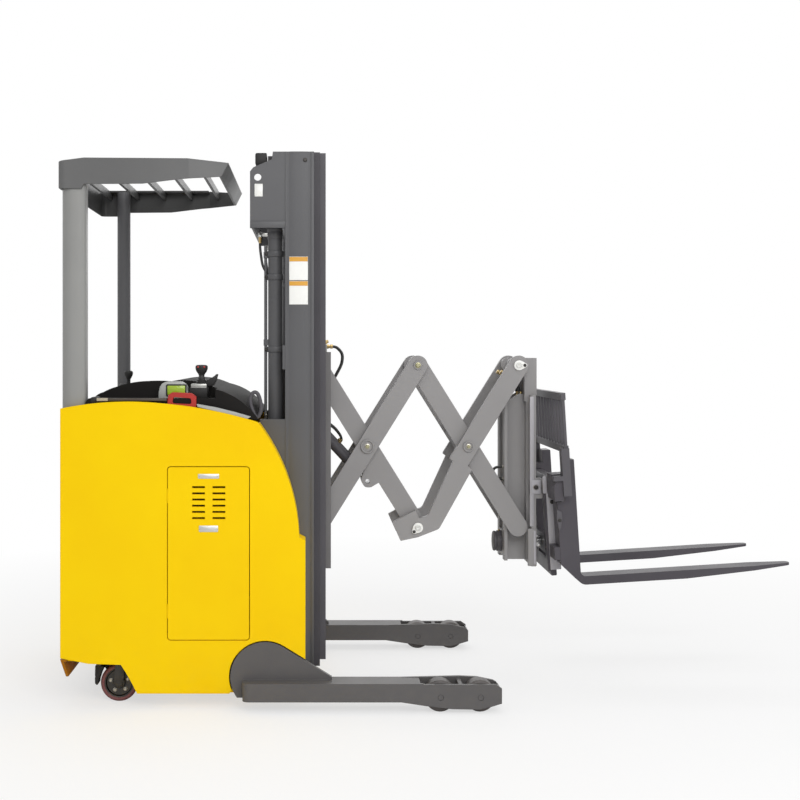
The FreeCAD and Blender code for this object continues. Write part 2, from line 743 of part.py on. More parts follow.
def inner_mast():
    """The third rails, which carry the reach base."""
    rails = both_sides(rail(inner_front_x, inner_y, mast_foot_z + 32.0, mast_top_z))
    rear_x = inner_front_x - rail_depth
    tie_x = (rear_x, rear_x + rail_wall)
    ties = [block(tie_x, (-inner_y[1], inner_y[1]), span) for span in ((2170.0, 2290.0), (180.0, 270.0),
        (1180.0, 1260.0))]
    turning = []
    for shape in rollers(inner_front_x, inner_y[1], 36.0, (220.0, 440.0)):
        turning += both_sides(shape)
    return join(*rails, *ties, *turning)


parts["outer_mast"] = outer_mast()
parts["middle_mast"] = middle_mast()
parts["inner_mast"] = inner_mast()


def lift_cylinder():
    """One tube, hollow for its rod, with a gland at the top and a foot on the mast plate."""
    x, y = lift_cylinder_x, lift_cylinder_y
    tube = rod_z(x, y, lift_cylinder_radius, mast_foot_z, lift_cylinder_top_z)
    head = rod_z(x, y, lift_cylinder_radius + 2.0, lift_cylinder_top_z - 60.0, lift_cylinder_top_z)
    bore = rod_z(x, y, lift_cylinder_radius - 6.0, mast_foot_z + 30.0, lift_cylinder_top_z - 60.0)
    gland = rod_z(x, y, lift_rod_radius + fit, lift_cylinder_top_z - 61.0, lift_cylinder_top_z + 1.0)
    pipe = rod_z(x - 42.0, y, 6.0, 330.0, 1900.0)
    clamps = [block((x - 50.0, x - 20.0), (y - 9.0, y + 9.0), (z, z + 26.0)) for z in (360.0, 1480.0, 1850.0)]
    return join(tube, head, pipe, *clamps).cut(join(bore, gland))


def lift_rod():
    x, y = lift_cylinder_x, lift_cylinder_y
    return join(rod_z(x, y, lift_rod_radius, 320.0, 2240.0),
                rod_z(x, y, lift_cylinder_radius - 6.5, 320.0, 380.0))


parts["lift_cylinders"] = group(*both_sides(lift_cylinder()))
parts["lift_rods"] = group(*both_sides(lift_rod()))

# ---- Pantograph ----
span_x = link_length * math.cos(math.radians(link_angle))
span_z = link_length * math.sin(math.radians(link_angle))
top_0, low_0 = (pivot_x, pivot_top_z), (pivot_x, pivot_top_z - span_z)
top_1, low_1 = (pivot_x + span_x, pivot_top_z), (pivot_x + span_x, pivot_top_z - span_z)
top_2, low_2 = (pivot_x + 2 * span_x, pivot_top_z), (pivot_x + 2 * span_x, pivot_top_z - span_z)
cross_1 = ((top_0[0] + low_1[0]) / 2, (top_0[1] + low_1[1]) / 2)
cross_2 = ((top_1[0] + low_2[0]) / 2, (top_1[1] + low_2[1]) / 2)


def bar(start, end, low, high):
    """One straight link plate with round ends."""
    along = ((end[0] - start[0]) / link_length, (end[1] - start[1]) / link_length)
    side = (-along[1] * link_width / 2, along[0] * link_width / 2)
    body = polygon([
        (start[0] + side[0], start[1] + side[1]), (end[0] + side[0], end[1] + side[1]),
        (end[0] - side[0], end[1] - side[1]), (start[0] - side[0], start[1] - side[1]),
    ], low, high)
    ends = [rod_y(p[0], p[1], link_width / 2, low, high) for p in (start, end)]
    return join(body, *ends)


def bored(shape, *centres, radius=None):
    """Holes through a link for pins that belong to another piece."""
    return shape.cut(Part.makeCompound([rod_y(c[0], c[1], (radius or pin_radius) + fit, -300,
                                              300) for c in centres]))


def shaft(centre, reach, radius=None):
    return rod_y(centre[0], centre[1], radius or pin_radius, -reach, reach)


base_roller_radius = 36.7


def first_lower_link():
    """The link from the base's sliding rollers up to the first top pin. It carries both of those pins."""
    plates = [bar(low_0, top_1, *span) for span in both(*outer_link_y)]
    pins = [shaft(top_1, outer_link_y[1] + 3.0), shaft(cross_1, outer_link_y[1] + 5.0),
            shaft(low_0, 232.0, 16.0)]
    turning = [rod_y(low_0[0], low_0[1], base_roller_radius, *span) for span in both(192.0, 232.0)]
    rings = [rod_y(cross_1[0], cross_1[1], 30.0, *span) for span in both(outer_link_y[0],
        outer_link_y[1] + 4.0)]
    return join(*plates, *pins, *turning, *rings)


def first_upper_link():
    """The link that hangs on the base's fixed pin, with lugs for the reach cylinders below it."""
    plates = [bar(top_0, low_1, *span) for span in both(*inner_link_y)]
    lug = [
        (reach_lug[0] - 30, reach_lug[1] + 6), (reach_lug[0] - 14, reach_lug[1] - 27),
        (reach_lug[0] + 14, reach_lug[1] - 27), (reach_lug[0] + 70, reach_lug[1] + 6),
        (reach_lug[0] + 60, reach_lug[1] + 80),
        (reach_lug[0] + 10, reach_lug[1] + 120),
    ]
    lugs = [rounded_plate(lug, [12, 22, 22, 4, 4, 4], *span) for span in both(*inner_link_y)]
    share = 0.74
    cross = (top_0[0] + (low_1[0] - top_0[0]) * share, top_0[1] + (low_1[1] - top_0[1]) * share)
    whole = bored(join(*plates, *lugs, shaft(cross, inner_link_y[1], 16.0)), top_0, cross_1, low_1)
    return whole.cut(rod_y(*reach_lug, reach_eye_bore, -200, 200))


def second_upper_link():
    """The cranked link from the first low pin to the fork frame. It carries all three of its pins."""
    x, z = low_1
    sheets = []
    for span in both(*outer_link_y):
        straight = bar(low_1, top_2, *span)
        keep = polygon([(x + 140, z + 300), (x + 260, z + 210), (x + 700, z + 800), (x + 300, z + 900)],
                       *span)
        lower = rounded_plate([
            (x + 168, z + 322), (x + 44, z + 52), (x + 6, z + 40), (x - 10, z + 76), (x - 70, z + 46),
            (x - 112, z + 22), (x - 76, z - 58), (x, z - 42), (x + 92, z - 6), (x + 236, z + 252),
        ], [0, 26, 4, 3, 3, 4, 4, 30, 30, 0], *span)
        sheets.append(join(straight.common(keep), lower))
    pins = [shaft(p, outer_link_y[1] + 3.0) for p in (low_1, cross_2, top_2)]
    rings = [rod_y(cross_2[0], cross_2[1], 24.0, *span) for span in both(outer_link_y[0],
        outer_link_y[1] + 4.0)]
    return join(*sheets, *pins, *rings)


frame_channel_y = (50.0, 105.0)
frame_roller_radius = 40.7


def second_lower_link():
    """The link from the first top pin to the rollers that slide in the fork frame."""
    plates = [bar(top_1, low_2, *span) for span in both(*inner_link_y)]
    sheet = bored(join(*plates), top_1, cross_2)
    axles = [rod_y(low_2[0], low_2[1], 16.0, *span) for span in both(68.0, inner_link_y[1])]
    turning = [rod_y(low_2[0], low_2[1], frame_roller_radius, *span) for span in both(68.0, 106.0)]
    share = 0.36
    cross = (top_1[0] + (low_2[0] - top_1[0]) * share, top_1[1] + (low_2[1] - top_1[1]) * share)
    return join(sheet, shaft(cross, inner_link_y[1], 16.0), *axles, *turning)


parts["first_lower_link"] = first_lower_link()
parts["first_upper_link"] = first_upper_link()
parts["second_upper_link"] = second_upper_link()
parts["second_lower_link"] = second_lower_link()

base_front_x = (54.0, 77.0)
base_rear_x = (-49.0, -32.0)


def reach_base():
    """Side channels open inwards for the lower link's rollers, ties behind, and the fixed top pin."""
    z = (reach_base_bottom_z, reach_base_top_z)
    outer = reach_base_half_width
    sides = []
    for span in both(236.0, outer):
        sides.append(block((base_rear_x[0], base_front_x[0]), span, z))
    for span in both(176.0, outer):
        sides.append(block(base_front_x, span, z))
        sides.append(block((base_rear_x[0], pivot_x - base_roller_radius - seat_gap), span, z))
    ties = [block(base_rear_x, (-outer, outer), span) for span in
            ((z[0], z[0] + 50.0), (1060.0, 1165.0), (z[1] - 50.0, z[1]))]
    pin = shaft(top_0, 240.0)
    ears = [
        polygon([(-49, 1060), (reach_cylinder_pivot[0] + 10, 1110), (reach_cylinder_pivot[0] + 18, 1142),
                 (reach_cylinder_pivot[0], 1162), (-49, 1162)], *span)
        for span in ((-88.0, -80.0), (80.0, 88.0), (-8.0, 8.0))
    ]
    cylinder_pin = rod_y(*reach_cylinder_pivot, 12.0, -88.0, 88.0)
    guides = []
    for height in (640.0, 1330.0):
        x = inner_front_x - rail_depth / 2
        guides.append(rod_y(x, height, 16.0, outer - 1.0, outer + 20.0))
        guides.append(rod_y(x, height, mast_roller_radius, outer + 18.0, inner_y[1] - rail_wall - 3.0))
    turning = [shape for guide in guides for shape in both_sides(guide)]
    return join(*sides, *ties, pin, *ears, cylinder_pin, *turning)


parts["reach_base"] = reach_base()
parts["valve_block"] = join(
    block((-20.0, 62.0), (-90.0, 90.0), (reach_base_top_z, reach_base_top_z + 34.0)),
    rod_z(10.0, -60.0, 11.0, reach_base_top_z + 30.0, reach_base_top_z + 52.0),
    rod_z(10.0, 0.0, 11.0, reach_base_top_z + 30.0, reach_base_top_z + 52.0),
    rod_z(10.0, 60.0, 11.0, reach_base_top_z + 30.0, reach_base_top_z + 52.0),
    block((-49.0, -20.0), (-90.0, 90.0), (reach_base_top_z, reach_base_top_z + 20.0)),
)

stroke_line = point(reach_lug[0] - reach_cylinder_pivot[0], 0, reach_lug[1] - reach_cylinder_pivot[1])
stroke_length = stroke_line.Length
tube_length = 236.0
rod_length = 240.0


def along_cylinder(distance, y):
    return point(reach_cylinder_pivot[0], y,
                 reach_cylinder_pivot[1]) + stroke_line * (distance / stroke_length)


def reach_tube(y):
    """The tube from its base eye to its gland."""
    eye = rod_y(*reach_cylinder_pivot, 24.0, y - 18.0, y + 18.0)
    tube = rod_between(along_cylinder(10.0, y), along_cylinder(tube_length, y), reach_cylinder_radius)
    bore = rod_between(along_cylinder(32.0, y), along_cylinder(tube_length - 24.0, y),
                       reach_cylinder_radius - 5.0)
    gland = rod_between(along_cylinder(tube_length - 25.0, y), along_cylinder(tube_length + 1.0, y),
                        reach_rod_radius + fit)
    return join(eye, tube).cut(join(bore, gland, rod_y(*reach_cylinder_pivot, 12.0 + fit, y - 30.0,
                                                       y + 30.0)))


def reach_rod(y):
    """One rod with its eye."""
    eye = rod_y(*reach_lug, 26.0, y - 15.0, y + 15.0)
    rod = rod_between(along_cylinder(stroke_length - rod_length, y),
                      along_cylinder(stroke_length - 18.0, y), reach_rod_radius)
    return join(eye, rod)


def reach_rods():
    """Both rods on the hollow cross pin that lies between the upper link's lugs."""
    pin = rod_y(*reach_lug, 16.0, -(inner_link_y[0] - seat_gap), inner_link_y[0] - seat_gap)
    whole = join(reach_rod(-reach_cylinder_y), reach_rod(reach_cylinder_y), pin)
    return whole.cut(rod_y(*reach_lug, reach_eye_bore, -200, 200))


parts["reach_cylinders"] = group(reach_tube(-reach_cylinder_y), reach_tube(reach_cylinder_y))
parts["reach_rods"] = reach_rods()

# ---- Fork frame ----
channel_x = (top_2[0] - 55.0, top_2[0] + 55.0)
channel_wall = 14.0
channel_bottom_z = 532.0


def fork_frame():
    """Two upright channels open outwards, a front plate, top bracket and the tilt pivot's ears."""
    channels = []
    for side in (-1, 1):
        span = tuple(sorted((side * frame_channel_y[0], side * frame_channel_y[1])))
        web = tuple(sorted((side * frame_channel_y[0], side * (frame_channel_y[0] + channel_wall))))
        outline = [(channel_x[0], channel_bottom_z), (channel_x[1], channel_bottom_z), (channel_x[1], 1263),
                   (918, 1269), (864, 1235), (channel_x[0], 1222)]
        whole = polygon(outline, *span)
        hollow = block((channel_x[0] + channel_wall, channel_x[1] - channel_wall), (-200, 200), (500, 1400))
        channels.append(join(whole.cut(hollow), whole.common(block(channel_x, web, (500, 1400)))))
    x, z = top_2
    bracket = rounded_plate([
        (x - 40, z - 30), (x + 30, z - 44), (934, 1340), (934, 1235), (976, 1235), (988, 1270), (988, 1427),
        (x + 8, 1427), (x - 40, z + 28),
    ], [26, 4, 4, 2, 2, 2, 3, 22, 22], -105.0, -75.0)
    brackets = both_sides(bracket)
    collars = [rod_y(x, z, 34.0, *span) for span in both(75.0, outer_link_y[0] - 1.0)]
    front = block((channel_x[1], 976.0), (-160.0, 160.0), (channel_bottom_z - 17.0, 1263.0))
    top_tie = block((956.0, 988.0), (-105.0, 105.0), (1263.0, 1427.0))
    ears = [rounded_plate([(976, 812), (1010, 812), (1010, 900), (976, 900)], [0, 12, 12, 0],
                          *span) for span in
            both(120.0, 158.0)]
    seat = block((channel_x[0], 976.0), (-50.0, 50.0), (550.0, 660.0))
    whole = join(*channels, *brackets, *collars, front, top_tie, *ears, seat)
    bores = [rod_y(*tilt_pivot, 14.0 + fit, -300, 300), rod_x(0.0, 605.0, 22.0, 800.0, 1000.0)]
    bores += [block((channel_x[1] - 0.5, 990.0), span, (tilt_pivot[1] - 34.0, tilt_pivot[1] + 34.0))
              for span in both(84.0, 119.0)]
    return bored(whole, top_2).cut(Part.makeCompound(bores))


parts["fork_frame"] = fork_frame()
parts["tilt_cylinder"] = rod_x(0.0, 605.0, 47.5, 793.0, channel_x[0]).cut(rod_x(0.0, 605.0, 19.0 + fit,
    806.0, 870.0))


def tilted(shape):
    """Turns a piece that was drawn upright to the forks' angle, about the tilt pin."""
    turned = shape.copy()
    turned.rotate(point(tilt_pivot[0], 0, tilt_pivot[1]), point(0, 1, 0), -tilt_back)
    return turned


carriage_rear_x = 1008.0
outer_upright_y = (180.0, 205.0)
outer_upright_setback = 19.0
fork_sleeve = 42.0
fork_rear_x = fork_front_x - fork_thickness
parts["tilt_rod"] = join(rod_x(0.0, 605.0, 19.0, 842.0, 1019.0), rod_x(0.0, 605.0, 26.0, 1008.0, 1020.0))


def fork_carriage():
    """Inner uprights with the tilt pin's ears, outer uprights, and the bars that carry the forks."""
    bar_x = (fork_rear_x - 60.0, fork_rear_x - 22.0)
    upper = rounded_plate([
        (bar_x[0], 820), (bar_x[1], 820), (bar_x[1], 872), (bar_x[1] + 14, 886), (bar_x[1] + 14, 905),
        (bar_x[0] + 12, 905), (bar_x[0], 886),
    ], [4, 4, 2, 2, 4, 6, 4], -carriage_half_width, carriage_half_width)
    outer_x = (bar_x[1] - 36.0 - outer_upright_setback, bar_x[1] - outer_upright_setback)
    lower = rounded_plate([
        (bar_x[0] - 6, 480), (outer_x[1], 480), (outer_x[1], 545), (bar_x[0] - 6, 545),
    ], 5.0, -outer_upright_y[1], outer_upright_y[1])
    rest_half = fork_centre_y + fork_width / 2
    rest = block((bar_x[0] - 6.0, fork_rear_x - fork_sleeve - 0.3), (-rest_half, rest_half), (565.0, 620.0))
    uprights = [block((carriage_rear_x + 4.0, bar_x[1]), span, (500.0, 860.0)) for span in both(90.0, 116.0)]
    uprights += [block(outer_x, span, (500.0, 860.0)) for span in both(*outer_upright_y)]
    ears = [join(rod_y(*tilt_pivot, 24.0, *span),
                 block((tilt_pivot[0], carriage_rear_x + 30.0), span,
                       (tilt_pivot[1] - 24.0, tilt_pivot[1] + 24.0)))
            for span in both(90.0, 116.0)]
    push = block((carriage_rear_x + 0.0, carriage_rear_x + 22.0), (-116.0, 116.0), (565.0, 645.0))
    pin = rod_y(*tilt_pivot, 14.0, -162.0, 162.0)
    return tilted(join(upper, lower, rest, *uprights, *ears, push, pin))


def fork(side):
    """An upright shank and a tapered blade from one bent bar, with its hook and the sleeve behind it."""
    y = side * fork_centre_y
    span = (y - fork_width / 2, y + fork_width / 2)
    rear, front = fork_rear_x, fork_front_x
    tip = front + fork_length
    bottom = fork_bottom_z
    back = rear - fork_sleeve
    profile = [
        (rear, fork_top_z), (rear, 812), (back, 812), (back, bottom + 93), (rear + 45, bottom),
        (front + 450, bottom),
        (tip, bottom + blade_thickness - 10), (tip, bottom + blade_thickness),
        (front, bottom + blade_thickness),
        (front, fork_top_z),
    ]
    bent = rounded_plate(profile, [4, 3, 4, 10, 40, 0, 3, 0, 22, 4], *span)
    plan = [(back - 5, span[0]), (tip - 160, span[0]), (tip, y - 22), (tip, y + 22), (tip - 160, span[1]),
            (back - 5, span[1])]
    outline = rounded_plate(plan, [0, 40, 20, 20, 40, 0], bottom - 5, fork_top_z + 5, "xy")
    hook_x = (rear - 22.0 + 0.5, rear)
    upper = block(hook_x, span, (812, 872.0 - 1.0))
    cap = block((rear - 22.0 + 15.0, rear), span, (860.0, 930.0))
    over = block((rear - 60.0, rear), span, (906.0, 930.0))
    return tilted(join(bent.common(outline), upper, cap, over))


def load_backrest():
    """A framed panel of upright bars on two legs that stand beside the forks."""
    x = (fork_rear_x - 8.0, fork_rear_x + 12.0)
    half = backrest_half_width
    top = block(x, (-half, half), (backrest_top_z - 30.0, backrest_top_z))
    bottom = block(x, (-half, half), (backrest_panel_z, backrest_panel_z + 30.0))
    bars = []
    count = 11
    for number in range(count):
        y = -half + 4.0 + number * (2 * half - 8.0 - 12.0) / (count - 1)
        bars.append(block((x[0] + 4.0, x[1] - 4.0), (y, y + 12.0),
                          (backrest_panel_z + 5.0, backrest_top_z - 5.0)))
    leg_x = (x[0] - 14.0, x[1])
    leg_y = both(half - 38.0, half + 12.0)
    legs = [block(leg_x, span, (905.5, backrest_panel_z + 20.0)) for span in leg_y]
    feet = [block((fork_rear_x - 60.0, x[0] + 5.0), span, (905.5, 925.0)) for span in leg_y]
    tails = [block(leg_x, span, (840.0, 910.0)) for span in both(carriage_half_width + 0.5, half + 12.0)]
    return tilted(join(top, bottom, *bars, *legs, *feet, *tails))


parts["fork_carriage"] = fork_carriage()
parts["load_backrest"] = load_backrest()
parts["right_fork"] = fork(-1)
parts["left_fork"] = fork(1)

# ---- Export ----
rear_most = min(shape.BoundBox.XMin for shape in parts.values())
front_most = max(shape.BoundBox.XMax for shape in parts.values())
origin_shift = -(rear_most + front_most) / 2

os.makedirs("parts", exist_ok=True)
for name, shape in parts.items():
    shape.translate(point(origin_shift, 0, 0))
    shape.exportStep("parts/" + name + ".step")
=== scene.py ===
import math

import bmesh
import bpy
from mathutils import Matrix, Vector


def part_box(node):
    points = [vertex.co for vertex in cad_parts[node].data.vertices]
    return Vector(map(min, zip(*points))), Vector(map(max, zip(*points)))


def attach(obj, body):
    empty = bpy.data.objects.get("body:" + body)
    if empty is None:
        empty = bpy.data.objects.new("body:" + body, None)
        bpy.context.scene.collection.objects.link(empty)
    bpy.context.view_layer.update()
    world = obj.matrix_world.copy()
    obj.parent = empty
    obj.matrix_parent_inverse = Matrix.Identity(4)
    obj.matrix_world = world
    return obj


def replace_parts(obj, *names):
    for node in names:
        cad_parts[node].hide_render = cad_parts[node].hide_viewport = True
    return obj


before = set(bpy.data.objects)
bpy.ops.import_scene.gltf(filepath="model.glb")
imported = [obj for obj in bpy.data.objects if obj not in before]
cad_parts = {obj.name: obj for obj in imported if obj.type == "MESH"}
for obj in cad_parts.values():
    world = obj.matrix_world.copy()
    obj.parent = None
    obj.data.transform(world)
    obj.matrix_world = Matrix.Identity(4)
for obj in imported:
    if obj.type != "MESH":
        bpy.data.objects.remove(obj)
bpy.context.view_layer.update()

# Metres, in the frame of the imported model: +X to the forks, +Y to the truck's left, +Z up.
# Places along the truck are given in millimetres from the datum, 4 mm behind the outer mast's front face.
datum_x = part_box("outer_mast")[1].x - 0.004


def at(x, y, z):
    """A place from millimetres: x from the datum, y from the centre plane, z from the floor."""
    return Vector((datum_x + x / 1000, y / 1000, z / 1000))


def limits(node):
    """The two corners of a CAD node's box, in millimetres from the datum."""
    return [((corner.x - datum_x) * 1000, corner.y * 1000, corner.z * 1000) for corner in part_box(node)]


def in_scene(name, data):
    """A new object, linked to the scene."""
    made = bpy.data.objects.new(name, data)
    bpy.context.scene.collection.objects.link(made)
    return made


# ---- Camera and light ----
camera_lens, sensor_width = 58.0, 36.0
camera_shift = (0.10875, -0.05625)

camera = in_scene("camera", bpy.data.cameras.new("camera"))
camera.location = at(0.0, -5799.0, 1440.0)
camera.rotation_euler = (math.pi / 2, 0.0, 0.0)
camera.data.sensor_width = sensor_width
camera.data.lens = camera_lens
camera.data.shift_x, camera.data.shift_y = camera_shift
bpy.context.scene.camera = camera
bpy.context.scene.view_settings.view_transform = "Standard"

truck_middle = Vector((0.0, 0.0, 1.0))


def lamp(name, place, size, power):
    """A large soft lamp that faces the truck's middle."""
    light = bpy.data.lights.new(name, "AREA")
    light.shape = "RECTANGLE"
    light.size, light.size_y = size
    light.energy = power
    holder = in_scene(name, light)
    holder.location = place
    holder.rotation_mode = "QUATERNION"
    holder.rotation_quaternion = (truck_middle - Vector(place)).to_track_quat("-Z", "Y")


lamp("key_lamp", (0.9, -6.2, 4.4), (4.0, 3.0), 175.0)
lamp("fill_lamp", (4.8, -3.2, 2.6), (3.5, 3.0), 42.0)
lamp("top_lamp", (0.0, 0.6, 6.0), (5.0, 3.5), 60.0)
lamp("rear_lamp", (0.5, 5.5, 3.6), (5.0, 3.0), 36.0)


def connect(tree, inputs, values):
    """Fills inputs, by order or by label with _ for a space, with fixed values or with sockets."""
    for key, value in values.items():
        socket = inputs[key.replace("_", " ") if isinstance(key, str) else key]
        if isinstance(value, bpy.types.NodeSocket):
            tree.links.new(value, socket)
        else:
            socket.default_value = value


def add_node(tree, kind, operation=None, ordered=(), **labelled):
    """A new shader node with its operation and its inputs."""
    node = tree.nodes.new("ShaderNode" + kind)
    if operation:
        node.operation = operation
    connect(tree, node.inputs, {**dict(enumerate(ordered)), **labelled})
    return node


world_light = 0.5


def studio_world():
    """Even pale light, and plain white behind the truck, in metal and in glass."""
    world = bpy.data.worlds.new("studio")
    bpy.context.scene.world = world
    world.use_nodes = True
    tree = world.node_tree
    tree.nodes.clear()
    rays = add_node(tree, "LightPath").outputs
    seen = add_node(tree, "Math", "MAXIMUM", (rays["Is Camera Ray"], rays["Is Glossy Ray"]))
    through = add_node(tree, "Math", "MAXIMUM", (seen.outputs[0], rays["Is Transmission Ray"]))
    strength = add_node(tree, "MapRange", Value=through.outputs[0], To_Min=world_light, To_Max=1.0)
    sky = add_node(tree, "Background", Color=(1.0, 1.0, 1.0, 1.0), Strength=strength.outputs[0])
    add_node(tree, "OutputWorld", Surface=sky.outputs[0])


studio_world()


def srgb(code):
    """A linear colour from a six-figure colour code."""
    values = [int(code[i:i + 2], 16) / 255 for i in (0, 2, 4)]
    return tuple(v / 12.92 if v <= 0.04045 else ((v + 0.055) / 1.055) ** 2.4 for v in values) + (1.0,)


# ---- Effects that several finishes share ----
def effect(name, inputs, outputs):
    """A shader node group, and the sockets that bring its inputs in and take its outputs away."""
    group = bpy.data.node_groups.new(name, "ShaderNodeTree")
    for label, kind, default in inputs:
        socket = group.interface.new_socket(label, in_out="INPUT", socket_type="NodeSocket" + kind)
        socket.default_value = default
    for label, kind in outputs:
        group.interface.new_socket(label, in_out="OUTPUT", socket_type="NodeSocket" + kind)
    return group, group.nodes.new("NodeGroupInput").outputs, group.nodes.new("NodeGroupOutput").inputs


def object_place(tree):
    """The truck's own coordinates."""
    return add_node(tree, "TexCoord").outputs["Object"]


def noise(tree, scale, detail, roughness=0.5):
    """Noise over the truck's own coordinates."""
    place = object_place(tree)
    return add_node(tree, "TexNoise", Vector=place, Scale=scale, Detail=detail,
                    Roughness=roughness).outputs["Fac"]


def ramp(tree, source, low, high):
    """A mask that rises from 0 to 1 between two values."""
    return add_node(tree, "MapRange", Value=source, From_Min=low, From_Max=high).outputs["Result"]


def product(tree, first, second):
    """Two values multiplied, each a number or a socket."""
    return add_node(tree, "Math", "MULTIPLY", (first, second)).outputs[0]


def blend_colour(tree, mask, first, second):
    """One colour over another through a mask."""
    mix = add_node(tree, "Mix")
    mix.data_type = "RGBA"
    colours = {s.name: number for number, s in enumerate(mix.inputs) if s.type == "RGBA"}
    connect(tree, mix.inputs, {"Factor": mask, colours["A"]: first, colours["B"]: second})
    return next(s for s in mix.outputs if s.type == "RGBA")


def worn_edges():
    """Marks sharp corners, broken up by noise, where paint rubs thin."""
    group, enter, leave = effect(
        "Worn edges",
        [("Width", "Float", 0.003), ("Amount", "Float", 0.5)],
        [("Mask", "Float"), ("Normal", "Vector")],
    )
    bevel = add_node(group, "Bevel", Radius=enter["Width"])
    bevel.samples = 4
    softened = bevel.outputs["Normal"]
    shape = add_node(group, "NewGeometry")
    turn = add_node(group, "VectorMath", "DOT_PRODUCT", (softened, shape.outputs["Normal"]))
    corner = ramp(group, turn.outputs["Value"], 0.985, 0.86)
    patches = ramp(group, noise(group, 14.0, 4.0), 0.46, 0.68)
    mask = product(group, product(group, corner, patches), enter["Amount"])
    connect(group, leave, {"Mask": mask, "Normal": softened})
    return group


def coat_texture():
    """Slight waviness of sprayed paint, and slow changes of tone and gloss across a panel."""
    group, enter, leave = effect(
        "Coat texture",
        [("Colour", "Color", (0.5, 0.5, 0.5, 1.0)), ("Shade", "Color",
                                                               (0.4, 0.4, 0.4, 1.0)),
         ("Gloss low", "Float", 0.3), ("Gloss high", "Float", 0.42)],
        [("Colour", "Color"), ("Roughness", "Float"), ("Height", "Float")],
    )
    slow = ramp(group, noise(group, 2.2, 3.0), 0.35, 0.7)
    colour = blend_colour(group, slow, enter["Colour"], enter["Shade"])
    gloss = add_node(group, "MapRange", To_Min=enter["Gloss low"], To_Max=enter["Gloss high"])
    connect(group, gloss.inputs, {"Value": noise(group, 9.0, 5.0)})
    height = noise(group, 420.0, 1.0)
    connect(group, leave, {"Colour": colour, "Roughness": gloss.outputs["Result"], "Height": height})
    return group


def floor_dust():
    """Dust that thins out with height above the floor and gathers on faces that look up."""
    group, enter, leave = effect(
        "Floor dust",
        [("Height", "Float", 0.35), ("Amount", "Float", 0.35)],
        [("Mask", "Float")],
    )
    place = add_node(group, "SeparateXYZ", ordered=(object_place(group),))
    fall = add_node(group, "MapRange", Value=place.outputs["Z"], From_Max=enter["Height"], To_Min=1.0,
                    To_Max=0.0)
    shape = add_node(group, "NewGeometry")
    facing = add_node(group, "SeparateXYZ", ordered=(shape.outputs["True Normal"],))
    upward = product(group, ramp(group, facing.outputs["Z"], 0.5, 1.0), 0.35)
    both = add_node(group, "Math", "MAXIMUM", (fall.outputs["Result"], upward))
    specks = ramp(group, noise(group, 30.0, 6.0, 0.65), 0.4, 0.75)
    connect(group, leave, {"Mask": product(group, product(group, both.outputs[0], specks), enter["Amount"])})
    return group


def moulded_grain():
    """Fine leathery cells of moulded plastic, rubber and vinyl."""
    group, enter, leave = effect(
        "Moulded grain",
        [("Scale", "Float", 900.0)],
        [("Height", "Float"), ("Mottle", "Float")],
    )
    cells = add_node(group, "TexVoronoi", Vector=object_place(group), Scale=enter["Scale"])
    cells.feature = "SMOOTH_F1"
    connect(group, leave, {"Height": cells.outputs["Distance"], "Mottle": noise(group, 6.0, 4.0)})
    return group


edge_group = worn_edges()
coat_group = coat_texture()
dust_group = floor_dust()
grain_group = moulded_grain()


# ---- Finishes ----
dust_colour = "8F8778"
metal_dust_colour = "6A6256"


def placed(tree, group, **values):
    """A shared effect in a finish, with that finish's own values. Its outputs."""
    node = add_node(tree, "Group")
    node.node_tree = group
    connect(tree, node.inputs, values)
    return node.outputs


def new_finish(name, **fixed):
    """A material with one Principled BSDF and its uniform values."""
    material = bpy.data.materials.new(name)
    material.use_nodes = True
    tree = material.node_tree
    shader = tree.nodes["Principled BSDF"]
    connect(tree, shader.inputs, fixed)
    return material, tree, shader


def bumped(tree, shader, height, normal, distance, strength):
    """Fine relief on the surface, over the softened corners."""
    bump = add_node(tree, "Bump", Height=height, Normal=normal, Distance=distance, Strength=strength)
    connect(tree, shader.inputs, {"Normal": bump.outputs["Normal"]})


def outward_sides(tree):
    """A mask of the faces that look away from the truck's middle plane."""
    place = add_node(tree, "TexCoord").outputs
    where = add_node(tree, "SeparateXYZ", ordered=(place["Object"],)).outputs
    facing = add_node(tree, "SeparateXYZ", ordered=(place["Normal"],)).outputs
    side = add_node(tree, "Math", "SIGN", (where["Y"],)).outputs
    return ramp(tree, product(tree, side["Value"], facing["Y"]), 0.35, 0.6)


def coated(tree, colour, shade, gloss):
    """The coat texture in two tones, between two roughnesses."""
    return placed(tree, coat_group, Colour=srgb(colour), Shade=srgb(shade), Gloss_low=gloss[0],
                  Gloss_high=gloss[1])


def paint(name, colour, shade, gloss=(0.32, 0.45), wear=0.2, bare="6F6C68", dust=0.08, shine=0.22,
          inner_shade=None):
    """Sprayed and baked paint on steel. A darker colour of painted shade may cover the faces that don't look
    outwards.
    """
    material, tree, shader = new_finish(name, Coat_Weight=0.02, Coat_Roughness=0.2, Specular_IOR_Level=shine)
    coat = coated(tree, colour, shade, gloss)
    edges = placed(tree, edge_group, Width=0.003, Amount=wear)
    dirt = placed(tree, dust_group, Height=0.4, Amount=dust)
    sprayed_and_shaded = coat["Colour"]
    if inner_shade:
        # Painted shade: faces that don't look outwards take the darker inner shade colour.
        sprayed_and_shaded = blend_colour(tree, outward_sides(tree), srgb(inner_shade), sprayed_and_shaded)
    rubbed = blend_colour(tree, edges["Mask"], sprayed_and_shaded, srgb(bare))
    dusty = blend_colour(tree, dirt["Mask"], rubbed, srgb(dust_colour))
    connect(tree, shader.inputs, {"Base Color": dusty, "Roughness": coat["Roughness"]})
    bumped(tree, shader, coat["Height"], edges["Normal"], 0.0004, 0.35)
    return material


